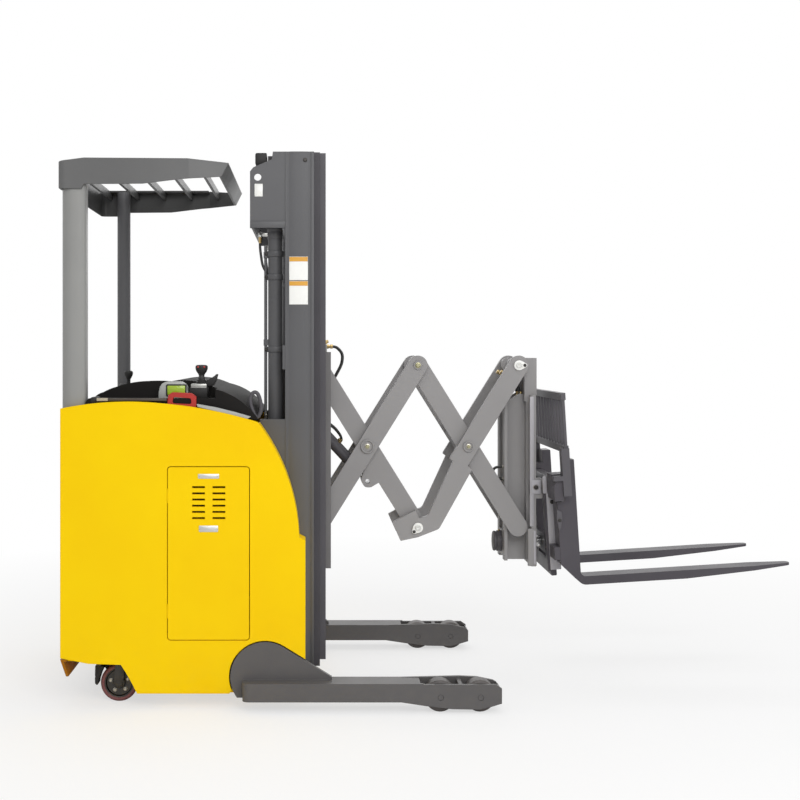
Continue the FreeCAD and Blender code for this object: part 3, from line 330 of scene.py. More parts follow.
def metal(name, colour, shade, gloss=(0.22, 0.38), brushed=160.0, dust=0.1):
    """Bare or plated metal with faint turning marks."""
    material, tree, shader = new_finish(name, Metallic=1.0)
    coat = coated(tree, colour, shade, gloss)
    edges = placed(tree, edge_group, Width=0.0015, Amount=0.3)
    dirt = placed(tree, dust_group, Height=0.4, Amount=dust)
    dusty = blend_colour(tree, dirt["Mask"], coat["Colour"], srgb(metal_dust_colour))
    connect(tree, shader.inputs, {"Base Color": dusty, "Roughness": coat["Roughness"]})
    bumped(tree, shader, noise(tree, brushed, 2.0), edges["Normal"], 0.0002, 0.2)
    return material


def moulding(name, colour, shade, grain=900.0, depth=0.0004, roughness=0.55, dust=0.15, edge=0.003, **fixed):
    """Moulded plastic, rubber or vinyl."""
    material, tree, shader = new_finish(name, Roughness=roughness, **fixed)
    cells = placed(tree, grain_group, Scale=grain)
    edges = placed(tree, edge_group, Width=edge, Amount=0.35)
    dirt = placed(tree, dust_group, Height=0.35, Amount=dust)
    mottled = blend_colour(tree, ramp(tree, cells["Mottle"], 0.35, 0.7), srgb(colour), srgb(shade))
    dusty = blend_colour(tree, dirt["Mask"], mottled, srgb(dust_colour))
    connect(tree, shader.inputs, {"Base Color": dusty})
    bumped(tree, shader, cells["Height"], edges["Normal"], depth, 0.4)
    return material


def label_film(name, colour, shade):
    """A smooth printed film."""
    return moulding(name, colour, shade, grain=2400.0, depth=0.00005, roughness=0.3, dust=0.0)


satin = (0.36, 0.5)
yellow_coat = paint("yellow_coat", "FFD600", "FCCE00", gloss=(0.36, 0.48), bare="B89A20", dust=0.03,
                    shine=0.1)
# Yellow in painted shade: a darker yellow-brown for the rear bumper, which stands in shade below the body.
shaded_yellow_coat = paint("shaded_yellow_coat", "A4680C", "985E08", bare="7A5A2A", dust=0.03, shine=0.12)
arm_coat = paint("arm_coat", "626060", "5C5A5A", wear=0.25, bare="807E7C")
mast_coat = paint("mast_coat", "626264", "5C5C5E", gloss=(0.34, 0.46), bare="7E7C7A")
inner_mast_coat = paint("inner_mast_coat", "5E5C60", "565458", gloss=satin, bare="75726E")
# The middle mast's grey is a darker copy of the mast paint: painted shade for the gap between the outer and
# inner rails.
shaded_mast_coat = paint("shaded_mast_coat", "4E4C50", "48464A", gloss=satin, bare="6C6A68")
link_coat = paint("link_coat", "9A9898", "929090", gloss=(0.36, 0.48), wear=0.12, bare="A8A6A2")
frame_coat = paint("frame_coat", "5C5A5E", "545256", gloss=satin, bare="7A7876")
channel_coat = paint("channel_coat", "9C9A9A", "908E8E", gloss=(0.34, 0.46), wear=0.25, bare="A8A6A2")
base_coat = paint("base_coat", "7C7A7A", "727070", gloss=satin, bare="989692")
# The guard's inner faces get painted shade, 484848, darker than its outer sides.
guard_coat = paint("guard_coat", "6E6E6E", "676767", wear=0.12, bare="807E7C", dust=0.03, inner_shade="484848")
post_coat = paint("post_coat", "9A9A98", "929290", gloss=(0.3, 0.4), wear=0.15, bare="8A8884", dust=0.06)
plate_coat = paint("plate_coat", "B4B2B6", "A9A7AB", bare="9A9896", dust=0.06)
tine_steel = paint("tine_steel", "504D52", "464348", gloss=(0.34, 0.5), wear=0.5, bare="8E8A86")
battery_coat = paint("battery_coat", "3A3A3C", "333335", gloss=(0.4, 0.55), wear=0.4, dust=0.25)
chrome_rod = metal("chrome_rod", "D8D8D8", "C8C8C8", gloss=(0.08, 0.16), brushed=60.0, dust=0.03)
zinc_bolt = metal("zinc_bolt", "B8B4AA", "9C988E", gloss=(0.25, 0.4))
brass_fitting = metal("brass_fitting", "D6BE8A", "BCA26C", gloss=(0.24, 0.38))
plated_nut = metal("plated_nut", "B4B090", "9A9674", gloss=(0.26, 0.4))
machined_block = metal("machined_block", "A8A8A4", "969692", gloss=(0.3, 0.45))
dark_steel = metal("dark_steel", "4C4A48", "3C3A38", gloss=(0.35, 0.5))
console_plastic = moulding("console_plastic", "1A1817", "201E1C", roughness=0.66, dust=0.0,
                           Specular_IOR_Level=0.14)
black_plastic = moulding("black_plastic", "232222", "2B2A29", roughness=0.5, dust=0.03,
                         Specular_IOR_Level=0.3)
grey_plastic = moulding("grey_plastic", "B4B6B2", "AAACA8", grain=1400.0, roughness=0.4, dust=0.05)
dark_trim = moulding("dark_trim", "4A4136", "3E362C", grain=1400.0, roughness=0.5, dust=0.05)
beige_plastic = moulding("beige_plastic", "B9AE96", "AFA48C", grain=1400.0, roughness=0.45)
red_plastic = moulding("red_plastic", "B22A22", "A4241C", grain=1600.0, depth=0.0002, roughness=0.35,
                       dust=0.05)
pad_vinyl = moulding("pad_vinyl", "242323", "2C2B2A", grain=420.0, depth=0.0008, roughness=0.5, edge=0.002)
mat_rubber = moulding("mat_rubber", "262524", "302E2C", grain=300.0, depth=0.0008, roughness=0.75, dust=0.35)
hose_rubber = moulding("hose_rubber", "1D1C1C", "262524", grain=700.0, roughness=0.5)
tyre_polyurethane = moulding("tyre_polyurethane", "80484A", "744042", grain=600.0, roughness=0.45)
load_polyurethane = moulding("load_polyurethane", "5C5655", "4E4A49", grain=600.0, roughness=0.45)
drive_rubber = moulding("drive_rubber", "2C2A29", "353331", grain=400.0, roughness=0.7, dust=0.5)
white_label = label_film("white_label", "F8F8F4", "F0F0EC")
orange_label = label_film("orange_label", "E2A63E", "D89C36")
silver_label = metal("silver_label", "D4D4D0", "C6C6C2", gloss=(0.3, 0.4))
green_screen = moulding("green_screen", "AECB34", "A4C22C", grain=3000.0, depth=0.00005, roughness=0.12,
                        dust=0.0)

node_finishes = {
    yellow_coat: ("chassis_frame", "right_side_panel", "left_side_panel", "front_bulkhead", "service_door",
                  "drive_cabinet", "operator_partition"),
    # The rear bumper takes the yellow in painted shade.
    shaded_yellow_coat: ("rear_bumper",),
    arm_coat: ("right_outrigger", "left_outrigger", "operator_platform"),
    mast_coat: ("outer_mast", "lift_cylinders", "drive_unit", "guard_post_left"),
    dark_steel: ("caster_bracket",),
    shaded_mast_coat: ("middle_mast",),
    inner_mast_coat: ("inner_mast",),
    link_coat: ("first_lower_link", "first_upper_link", "second_upper_link", "second_lower_link"),
    base_coat: ("reach_base",),
    channel_coat: ("fork_frame",),
    frame_coat: ("reach_cylinders", "tilt_cylinder", "load_backrest"),
    tine_steel: ("fork_carriage", "right_fork", "left_fork"),
    guard_coat: ("overhead_guard",),
    post_coat: ("guard_post_right",),
    chrome_rod: ("lift_rods", "reach_rods", "tilt_rod"),
    machined_block: ("valve_block",),
    battery_coat: ("battery",),
    console_plastic: ("console_top",),
    black_plastic: ("joystick", "steering_wheel"),
    grey_plastic: ("display_unit",),
    red_plastic: ("emergency_handle",),
    pad_vinyl: ("backrest_pad",),
    drive_rubber: ("drive_wheel",),
    tyre_polyurethane: ("caster_wheel",),
    load_polyurethane: ("right_front_load_wheel", "left_front_load_wheel", "right_rear_load_wheel",
                        "left_rear_load_wheel"),
}
for finish, names in node_finishes.items():
    for name in names:
        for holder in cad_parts[name].material_slots:
            holder.link = "OBJECT"
            holder.material = finish

# ---- Piece building, in the millimetres of at() ----
up, down = (0, 0, 1), (0, 0, -1)
forward, rearward = (1, 0, 0), (-1, 0, 0)
leftward, rightward = (0, 1, 0), (0, -1, 0)
hexagon = 6  # sides
both_sides = ((-1, "right"), (1, "left"))


def circle(solid, middle, aside, over, radius, sides):
    """A ring of new points round a middle, in the plane of two directions."""
    turns = [2 * math.pi * i / sides for i in range(sides)]
    return [solid.verts.new(middle + (aside * math.cos(t) + over * math.sin(t)) * radius) for t in turns]


class Shape:
    """One piece made of several solids, each in its own finish."""

    def __init__(self):
        self.solids = bmesh.new()
        self.finishes = []

    def take(self, solid, finish):
        """Adds a solid in a finish."""
        if finish not in self.finishes:
            self.finishes.append(finish)
        for face in solid.faces:
            face.material_index = self.finishes.index(finish)
        bmesh.ops.recalc_face_normals(solid, faces=solid.faces)
        held = bpy.data.meshes.new("held")
        solid.to_mesh(held)
        solid.free()
        self.solids.from_mesh(held)
        bpy.data.meshes.remove(held)

    def plate(self, outline, low, high, finish, edge=1.5, across="y"):
        """A flat piece from an outline, with softened edges. The outline is in XZ, or in XY or YZ."""
        turns = {"y": lambda a, b, d: (a, d, b),
                 "z": lambda a, b, d: (a, b, d),
                 "x": lambda a, b, d: (d, a, b)}
        turn = turns[across]
        solid = bmesh.new()
        near = [solid.verts.new(turn(a, b, low)) for a, b in outline]
        far = [solid.verts.new(turn(a, b, high)) for a, b in outline]
        solid.faces.new(near)
        solid.faces.new(list(reversed(far)))
        count = len(outline)
        for i in range(count):
            j = (i + 1) % count
            solid.faces.new((near[i], far[i], far[j], near[j]))
        if edge:
            bmesh.ops.bevel(solid, geom=solid.edges[:], offset=edge, segments=2, profile=0.5, affect="EDGES",
                            clamp_overlap=True)
        self.take(solid, finish)

    def box(self, low, high, finish, edge=1.5):
        """A block with softened edges, between two corners."""
        outline = [(low[0], low[2]), (high[0], low[2]), (high[0], high[2]), (low[0], high[2])]
        self.plate(outline, low[1], high[1], finish, edge)

    def turned(self, centre, direction, profile, finish, sides=28, ring=False):
        """A turned piece from (radius, distance along the axis) pairs, end to end or round a ring."""
        solid = bmesh.new()
        axis = Vector(direction).normalized()
        aside = axis.orthogonal().normalized()
        over = axis.cross(aside)
        rings = []
        for radius, along in profile:
            middle = Vector(centre) + axis * along
            if radius < 1e-6:
                rings.append([solid.verts.new(middle)])
                continue
            rings.append(circle(solid, middle, aside, over, radius, sides))
        for first, second in zip(rings, rings[1:] + rings[:1] if ring else rings[1:]):
            for i in range(sides):
                j = (i + 1) % sides
                corners = [first[i % len(first)], first[j % len(first)],
                           second[j % len(second)], second[i % len(second)]]
                solid.faces.new(list(dict.fromkeys(corners)))
        for end in (rings[0], rings[-1]):
            if len(end) > 1 and not ring:
                solid.faces.new(end)
        self.take(solid, finish)

    def tube(self, points, radius, finish, sides=12, closed=False):
        """A round bar, pipe or hose along a smooth path through the points."""
        path = smooth_path([Vector(p) for p in points], closed)
        solid = bmesh.new()
        rings = []
        aside = None
        count = len(path)
        for i, place in enumerate(path):
            before = path[i - 1] if closed or i else path[0]
            after = path[(i + 1) % count] if closed or i < count - 1 else path[-1]
            along = (after - before).normalized()
            aside = along.orthogonal() if aside is None else aside - along * aside.dot(along)
            aside.normalize()
            over = along.cross(aside)
            rings.append(circle(solid, place, aside, over, radius, sides))
        pairs = list(zip(rings, rings[1:]))
        if closed:
            pairs.append((rings[-1], rings[0]))
        for first, second in pairs:
            for i in range(sides):
                j = (i + 1) % sides
                solid.faces.new((first[i], first[j], second[j], second[i]))
        if not closed:
            solid.faces.new(rings[0])
            solid.faces.new(rings[-1])
        self.take(solid, finish)

    def bolt(self, centre, direction, size, finish):
        """A hexagon head with a chamfer, on a washer. The size is the head's radius across its corners."""
        washer = [(0.0, -1.0), (size * 1.3, -1.0), (size * 1.3, size * 0.14), (size * 1.2, size * 0.2),
                  (0.0, size * 0.2)]
        head = [(0.0, 0.0), (size, 0.0), (size, size * 0.75), (size * 0.84, size * 0.9), (0.0, size * 0.9)]
        self.turned(centre, direction, washer, finish, 24)
        self.turned(centre, direction, head, finish, hexagon)

    def piece(self, name, body, slot):
        """The finished object, which rides on a body."""
        mesh = bpy.data.meshes.new(name)
        self.solids.transform(Matrix.Translation((datum_x, 0.0, 0.0)) @ Matrix.Scale(0.001, 4))
        self.solids.to_mesh(mesh)
        self.solids.free()
        mesh.shade_smooth()
        mesh.set_sharp_from_angle(angle=math.radians(38.0))
        for finish in self.finishes:
            mesh.materials.append(finish)
        made = in_scene(name, mesh)
        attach(made, body)
        return made


def smooth_path(points, closed=False, steps=8):
    """Points along a smooth line through the given points."""
    count = len(points)
    line = []
    for i in range(count if closed else count - 1):
        a = points[i - 1] if closed or i else points[0]
        b, c = points[i], points[(i + 1) % count]
        d = points[(i + 2) % count] if closed or i < count - 2 else points[-1]
        for k in range(steps):
            t = k / steps
            line.append(0.5 * (2 * b + (c - a) * t + (2 * a - 5 * b + 4 * c - d) * t * t
                               + (3 * b - a - 3 * c + d) * t * t * t))
    if not closed:
        line.append(points[-1])
    return line


def middle_of(node):
    """The middle of a CAD node's box, in millimetres from the datum."""
    low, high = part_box(node)
    middle = (low + high) / 2 * 1000
    return Vector((middle.x - datum_x * 1000, middle.y, middle.z))


def span(side, low, high):
    """Two places across the truck on one side, the smaller first."""
    return sorted((side * low, side * high))


def union(body, low, waist, end, top, step=1.0):
    """The profile of a screwed hose union: a body, then a step to a narrower or wider end."""
    return [(body, low), (body, waist), (end, waist + step), (end, top), (0.0, top + 0.5)]


def rounded(low_a, low_b, high_a, high_b, radius, steps=5):
    """A rectangle's outline with round corners."""
    corners = []
    for a, b, start in ((high_a - radius, high_b - radius, 0), (low_a + radius, high_b - radius, 90),
                        (low_a + radius, low_b + radius, 180), (high_a - radius, low_b + radius, 270)):
        for k in range(steps + 1):
            turn = math.radians(start + 90 * k / steps)
            corners.append((a + radius * math.cos(turn), b + radius * math.sin(turn)))
    return corners


# ---- Body and door ----
panel_face = 555.0


def door_plates():
    """Two blank silver plates above and below the vent slots."""
    shape = Shape()
    back, front = -panel_face - 1.4, -panel_face + 0.5
    shape.plate(rounded(-468.0, 937.0, -382.0, 956.0, 3.0), back, front, silver_label, 0.4)
    shape.plate(rounded(-464.0, 720.0, -386.0, 746.0, 3.0), back, front, silver_label, 0.4)
    rivet = [(2.6, 0.0), (2.6, 0.5), (1.2, 1.2), (0.0, 1.3)]
    for x in (-461.0, -389.0):
        for z in (946.5, 733.0):
            shape.turned((x, -panel_face - 1.2, z), rightward, rivet, zinc_bolt, 10)
    shape.piece("door_plates", "service_door", "valve_steel")


def standing_mat():
    """A ribbed rubber mat on the operator's platform."""
    shape = Shape()
    margin, rib_pitch = 8.0, 22.0
    low, high = limits("operator_platform")
    x = (low[0] + margin, high[0] - margin)
    y = (low[1] + margin, high[1] - margin)
    top = high[2]
    shape.box((x[0], y[0], top - 1.0), (x[1], y[1], top + 3.0), mat_rubber, 1.2)
    for number in range(int((y[1] - y[0] - 20.0) / rib_pitch)):
        middle = y[0] + 16.0 + rib_pitch * number
        rib = [(middle - 5.0, top + 2.5), (middle + 5.0, top + 2.5),
               (middle + 3.0, top + 6.0), (middle - 3.0, top + 6.0)]
        shape.plate(rib, x[0] + 10.0, x[1] - 10.0, mat_rubber, 0.8, across="x")
    shape.piece("standing_mat", "chassis", "black_plastic")


def cabinet_louvres():
    """Air slots and two catches on the drive cabinet's rear face."""
    rear = limits("drive_cabinet")[0][0]
    shape = Shape()
    for number in range(9):
        z = 820.0 + 22.0 * number
        slat = [(rear - 5.0, z), (rear + 0.5, z + 12.0), (rear + 0.5, z - 2.0), (rear - 5.0, z - 3.0)]
        shape.plate(slat, 220.0, 450.0, yellow_coat, 0.8)
    catch = [(13.0, 0.0), (13.0, 2.5), (11.0, 4.0), (0.0, 4.2)]
    for z in (400.0, 700.0):
        shape.turned((rear + 0.5, 500.0, z), rearward, catch, zinc_bolt, 24)
        shape.box((rear - 6.0, 497.5, z - 8.0), (rear - 2.0, 502.5, z + 8.0), dark_steel, 0.8)
    shape.piece("cabinet_louvres", "chassis", "yellow_paint")


# ---- Operator's space ----
def back_pad():
    """A crowned vinyl pad with two sewn channels and a welted edge, on the cabinet's inner face."""
    low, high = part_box("backrest_pad")
    size = (high - low) * 1000
    middle = middle_of("backrest_pad")
    back_y = middle.y + size.y / 2
    columns, rows = 36, 40
    crown = size.y * 0.42
    base = size.y - crown - 2.0
    seams, seam_width = (-0.34, 0.34), 0.045
    solid = bmesh.new()
    front = []
    for j in range(rows + 1):
        row = []
        v = 2 * j / rows - 1
        for i in range(columns + 1):
            u = 2 * i / columns - 1
            swell = (1 - abs(u) ** 3.2) ** 0.55 * (1 - abs(v) ** 3.2) ** 0.55
            seam = max(math.exp(-((v - s) / seam_width) ** 2) for s in seams)
            x = middle.x + u * size.x / 2 * (1 - 0.018 * (1 - abs(v) ** 2) * abs(u) ** 6)
            z = middle.z + v * size.z / 2 * (1 - 0.018 * (1 - abs(u) ** 2) * abs(v) ** 6)
            row.append(solid.verts.new((x, back_y - base - crown * swell * (1 - 0.5 * seam), z)))
        front.append(row)
    back = [[solid.verts.new((vert.co.x, back_y, vert.co.z)) for vert in row] for row in front]
    for j in range(rows):
        for i in range(columns):
            solid.faces.new((front[j][i], front[j][i + 1], front[j + 1][i + 1], front[j + 1][i]))
            solid.faces.new((back[j][i], back[j + 1][i], back[j + 1][i + 1], back[j][i + 1]))
    for i in range(columns):
        for j in (0, rows):
            solid.faces.new((front[j][i], front[j][i + 1], back[j][i + 1], back[j][i]))
    for j in range(rows):
        for i in (0, columns):
            solid.faces.new((front[j][i], front[j + 1][i], back[j + 1][i], back[j][i]))
    shape = Shape()
    shape.take(solid, pad_vinyl)
    welt = rounded(middle.x - size.x / 2 + 4.0, middle.z - size.z / 2 + 4.0,
                   middle.x + size.x / 2 - 4.0, middle.z + size.z / 2 - 4.0, 8.0, 3)
    shape.tube([(a, back_y - base - 0.5, b) for a, b in welt], 3.2, pad_vinyl, 10, closed=True)
    pad = shape.piece("back_pad", "chassis", "pad_foam")
    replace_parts(pad, "backrest_pad")


def armrest_trim():
    """The strips along the armrest and the shoulder, and the ring handle at the cover's front."""
    shape = Shape()
    shape.box((-882.0, -550.0, 1252.0), (-836.0, -536.0, 1264.5), beige_plastic, 3.0)
    shape.box((-838.0, -548.0, 1252.0), (-596.0, -536.0, 1263.5), dark_trim, 3.0)
    strip = [(-470, 1228), (-410, 1215), (-335, 1197), (-268, 1179), (-252, 1189), (-322, 1209), (-400, 1228),
             (-474, 1241)]
    shape.plate(strip, -553.0, -538.0, grey_plastic, 2.0)
    ring = [(-240, 1287), (-226, 1278), (-216, 1248), (-214, 1212), (-229, 1184), (-245, 1204), (-257, 1242),
            (-254, 1274)]
    shape.tube([(x, -500.0, z) for x, z in ring], 8.0, frame_coat, 14, closed=True)
    shape.box((-912.0, -530.0, 1238.0), (-880.0, -440.0, 1268.0), black_plastic, 9.0)
    shape.piece("armrest_trim", "chassis", "display_plastic")


def display():
    """A rounded housing with a raised bezel round a small screen, and four keys."""
    low, high = limits("display_unit")
    near, far = low[1], high[1]
    shape = Shape()
    housing = [(-640, 1253), (-516, 1251), (-515, 1262), (-521, 1308), (-530, 1321), (-546, 1329.5),
               (-608, 1329.5), (-625, 1322), (-635, 1306), (-639.5, 1285)]
    shape.plate(housing, near + 2.0, far, grey_plastic, 5.0)
    shape.plate(rounded(-608.0, 1268.0, -523.0, 1319.0, 6.0), near + 0.2, near + 6.0, black_plastic, 1.0)
    shape.plate(rounded(-602.0, 1276.0, -529.0, 1313.0, 2.0), near + 0.1, near + 5.0, green_screen, 0.3)
    for x in (-600.0, -581.0, -562.0, -543.0):
        shape.plate(rounded(x, 1269.5, x + 12.0, 1274.0, 1.5), near + 0.1, near + 5.0, grey_plastic, 0.3)
    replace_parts(shape.piece("display", "chassis", "display_plastic"), "display_unit")


def control_stick():
    """The lift and reach stick: a boot, a shaped head with three small keys, and a thumb lever."""
    x, y, top = -464.0, -430.0, 1400.0
    shape = Shape()
    shape.box((x - 48.0, y - 35.0, 1258.0), (x + 28.0, y + 35.0, 1308.0), black_plastic, 6.0)
    shape.box((x - 42.0, y - 34.0, 1300.0), (x + 24.0, y + 30.0, 1321.0), machined_block, 3.0)
    boot = [(28.0, 0.0), (26.0, 4.0), (21.0, 6.0), (23.0, 10.0), (18.0, 13.0), (20.0, 17.0), (14.0, 21.0),
            (15.0, 25.0), (12.0, 29.0), (12.0, 44.0)]
    shape.turned((x, y, 1318.0), up, boot, hose_rubber, 24)
    head = [(12.0, 0.0), (15.0, 6.0), (21.0, 14.0), (25.0, 24.0), (26.0, 32.0), (25.0, 38.0), (20.0, 42.0),
            (0.0, 43.0)]
    shape.turned((x, y, top - 43.5), up, head, black_plastic)
    key = [(4.2, 0.0), (4.2, 2.0), (3.0, 3.0), (0.0, 3.2)]
    for along, finish in ((-13.0, red_plastic), (0.0, white_label), (13.0, red_plastic)):
        shape.turned((x + along, y - 21.5, top - 10.0), (0, -1, 0.25), key, finish, 14)
    lever = [(x + 12, 1308), (x + 50, 1312), (x + 62, 1332), (x + 70, 1361), (x + 60, 1360), (x + 52, 1348),
             (x + 34, 1336), (x + 14, 1330)]
    shape.plate(lever, y - 14.0, y + 14.0, black_plastic, 3.0)
    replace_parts(shape.piece("control_stick", "chassis", "black_plastic"), "joystick")


def steering_disc():
    """A small level wheel with three spokes, a hub cap and a spinner knob."""
    middle = middle_of("steering_wheel")
    x, y, z = middle.x, middle.y, 1289.0
    radius = 100.0
    shape = Shape()
    rim = [(x + (radius - 9.0) * math.cos(t), y + (radius - 9.0) * math.sin(t), z + 9.0)
           for t in [2 * math.pi * i / 20 for i in range(20)]]
    shape.tube(rim, 8.6, black_plastic, 14, closed=True)
    for turn in (90.0, 210.0, 330.0):
        way = Vector((math.cos(math.radians(turn)), math.sin(math.radians(turn)), 0.0))
        start, end = Vector((x, y, z + 7.0)) + way * 22.0, Vector((x, y, z + 9.0)) + way * (radius - 12.0)
        shape.tube([start, (start + end) / 2, end], 7.0, black_plastic, 10)
    hub = [(14.0, -49.0), (14.0, -1.0), (33.0, 0.0), (34.0, 5.0), (30.0, 12.0), (18.0, 15.0), (0.0, 15.5)]
    shape.turned((x, y, z), up, hub, black_plastic)
    knob_x = x - radius + 44.0
    shape.tube([(knob_x - back, y, z + 9.0) for back in (20.0, 10.0, 0.0)], 7.5, black_plastic, 10)
    knob = [(9.0, 0.0), (8.0, 6.0), (8.0, 30.0), (12.0, 36.0), (18.0, 48.0), (21.0, 58.0), (20.5, 66.0),
            (15.0, 72.0), (0.0, 73.0)]
    shape.turned((knob_x, y, z + 5.0), up, knob, black_plastic, 24)
    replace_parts(shape.piece("steering_disc", "steering_wheel", "black_plastic"), "steering_wheel")


# ---- Mast ----
mast_face = 440.0
rail_bottom, rail_top = 122.0, 2286.0
rail_middle, rail_half = -60.0, 45.0
lift_x, lift_y, lift_radius = -159.0, 340.0, 31.0


def rolled(x):
    """How far the rolled rail's outer face stands out at a place along X."""
    across = min(1.0, abs((x - rail_middle) / rail_half))
    return mast_face - 1.0 + 4.5 * (1.0 - across ** 2.6)


def curved_face(shape, side, low_x, high_x, low_z, high_z, proud, depth, finish):
    """A thin curved plate that follows the rolled face between two places along X."""
    steps = [low_x + (high_x - low_x) * k / 24 for k in range(25)]
    outline = [(x, side * (rolled(x) + proud)) for x in steps]
    outline += [(x, side * (rolled(x) + proud - depth)) for x in reversed(steps)]
    shape.plate(outline, low_z, high_z, finish, 0.0, across="z")


def mast_faces():
    """The rolled rail's convex outer face between two flat lips, and the bolt beside its top."""
    for side, name in both_sides:
        shape = Shape()
        curved_face(shape, side, -104.5, -15.5, rail_bottom, rail_top, 0.0, 1.4, mast_coat)
        y = span(side, mast_face - 1.0, mast_face + 2.0)
        for x0, x1 in ((-116.0, -109.0), (-9.0, 4.0)):
            shape.box((x0, y[0], rail_bottom), (x1, y[1], rail_top), mast_coat, 0.9)
        bolt_x = -33.0
        shape.bolt((bolt_x, side * (rolled(bolt_x) - 0.5), 2251.0), (0, side, 0), 7.0, dark_steel)
        shape.piece(name + "_rail_face", "chassis", "mast_grey")


def mast_labels():
    """Two blank notices with an amber heading on the right rail, and one on the bracket."""
    shape = Shape()
    for top in (1849.0, 1748.0):
        curved_face(shape, -1, -99.0, -21.0, top - 98.0, top, 0.8, 1.0, white_label)
        curved_face(shape, -1, -98.0, -22.0, top - 20.0, top - 1.5, 1.1, 0.6, orange_label)
    notice = rounded(-243.0, 2099.0, -209.0, 2152.0, 2.0)
    shape.plate(notice, -mast_face - 0.9, -mast_face + 0.5, white_label, 0.3)
    shape.piece("mast_labels", "chassis", "light_grey_paint")


def top_brackets():
    """The bracket's lower lip and gusset, and the hose guide behind its shoulder, on each side."""
    gusset = [(-117, 1970), (-132, 1970), (-124, 1955), (-119, 1925), (-117, 1880)]
    guide = [(-241, 2238), (-236, 2228), (-222, 2227), (-193, 2242), (-193, 2283), (-237, 2283), (-241, 2278)]
    for side, name in both_sides:
        shape = Shape()
        lip = span(side, 426.0, 445.0)
        shape.box((-262.0, lip[0], 1968.0), (-116.0, lip[1], 1996.0), mast_coat, 2.0)
        shape.plate(gusset, *span(side, 427.0, 439.0), mast_coat, 1.0)
        shape.plate(guide, *span(side, 330.0, 425.0), black_plastic, 3.0)
        shape.piece(name + "_top_bracket", "chassis", "mast_grey")


def lift_fittings():
    """The gland ring, clamps, inlet fitting, feed hose and feed pipe of each lift cylinder."""
    x, r = lift_x, lift_radius
    pipe_x, inlet_x = -198.0, x - 65.0
    gland = [(r + 0.5, 0.0), (r + 2.0, 0.0), (r + 2.6, 3.0), (r + 2.6, 20.0), (r + 1.4, 23.0),
             (r + 2.6, 26.0), (r + 2.6, 36.0), (r + 0.5, 37.0)]
    band = [(r, 0.0), (r + 4.0, 0.0), (r + 5.0, 2.0), (r + 5.0, 22.0), (r + 4.0, 24.0), (r, 24.0)]
    elbow = [(0.0, 0.0), (8.0, 1.0), (10.0, 4.0), (10.0, 20.0), (7.5, 22.0), (0.0, 22.5)]
    tail = [(0.0, 0.0), (7.5, 0.5), (7.5, 16.0), (6.8, 17.0), (6.8, 27.0), (0.0, 27.5)]
    for side, name in both_sides:
        shape = Shape()
        y = side * lift_y
        shape.turned((x, y, 1938.0), up, gland, mast_coat, 36, ring=True)
        for z in (1855.0, 1757.0, 1452.0):
            shape.turned((x, y, z), up, band, mast_coat, 36, ring=True)
            shape.box((pipe_x - 7.0, y - 9.0, z + 3.0), (x - 30.0, y + 9.0, z + 21.0), mast_coat, 2.0)
            shape.bolt((x - 39.0, y - 9.0, z + 12.0), rightward, 5.5, dark_steel)
        shape.box((x + 28.0, y - 12.0, 1856.0), (-117.0, y + 12.0, 1878.0), mast_coat, 1.5)
        shape.turned((x - 30.0, y, 1948.0), rearward, union(8.0, -4.0, 22.0, 6.5, 34.0, 2.0), silver_label,
                     hexagon)
        shape.turned((inlet_x, y, 1960.0), down, elbow, silver_label, 20)
        shape.turned((inlet_x, y, 1940.0), down, tail, brass_fitting, hexagon)
        hose = [(inlet_x, 1918.0), (inlet_x, 1895.0), (inlet_x + 4.0, 1860.0), (inlet_x + 11.0, 1820.0),
                (pipe_x, 1788.0), (pipe_x, 1772.0)]
        shape.tube([(a, y, b) for a, b in hose], 5.6, hose_rubber)
        shape.tube([(pipe_x, y, z) for z in (1776.0, 1500.0, 1182.0)], 4.6, mast_coat)
        shape.turned((pipe_x, y, 1174.0), up, union(9.0, 0.0, 14.0, 7.0, 26.0, 2.0), zinc_bolt, hexagon)
        shape.piece(name + "_lift_fittings", "chassis", "mast_grey")


# ---- Wheels ----
def load_wheels():
    """Treads with chamfered shoulders on steel hubs, and the axle ends in the housing's walls."""
    tread = [(22.0, -36.0), (55.0, -37.0), (60.0, -35.0), (63.0, -31.0), (63.5, -26.0), (63.5, 26.0),
             (63.0, 31.0), (60.0, 35.0), (55.0, 37.0), (22.0, 36.0)]
    hub = [(30.0, 35.0), (30.0, 37.3), (24.0, 37.4), (22.0, 36.5), (14.0, 36.5)]
    axle_end = [(11.9, 30.0), (11.9, 57.6), (10.4, 58.9), (0.0, 59.0)]
    for place in ("rear", "front"):
        for side in ("right", "left"):
            node = side + "_" + place + "_load_wheel"
            middle = middle_of(node)
            shape = Shape()
            shape.turned(middle, leftward, tread, load_polyurethane, 48)
            for way in (-1, 1):
                shape.turned(middle, (0, way, 0), hub, dark_steel, 32)
                shape.turned(middle, (0, way, 0), axle_end, arm_coat, 24)
            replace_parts(shape.piece(node + "_detail", node, "wheel_polyurethane"), node)


def near_post():
    """The guard's right post: a flat inner side and a rounded outer side."""
    (x0, outer, foot), (x1, inner, head) = limits("guard_post_right")
    middle, half = (x0 + x1) / 2, (x1 - x0) / 2
    flat = inner - 6.0
    outline = []
    for k in range(33):
        t = math.pi * k / 32
        swell = math.sin(t) ** (0.35 if t < math.pi / 2 else 1.0)
        outline.append((middle + half * math.cos(t), flat - (flat - outer) * swell))
    outline += [(x0, inner), (x1, inner)]
    shape = Shape()
    shape.plate(outline, foot, head, post_coat, 0.0, across="z")
    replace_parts(shape.piece("near_post", "chassis", "light_grey_paint"), "guard_post_right")


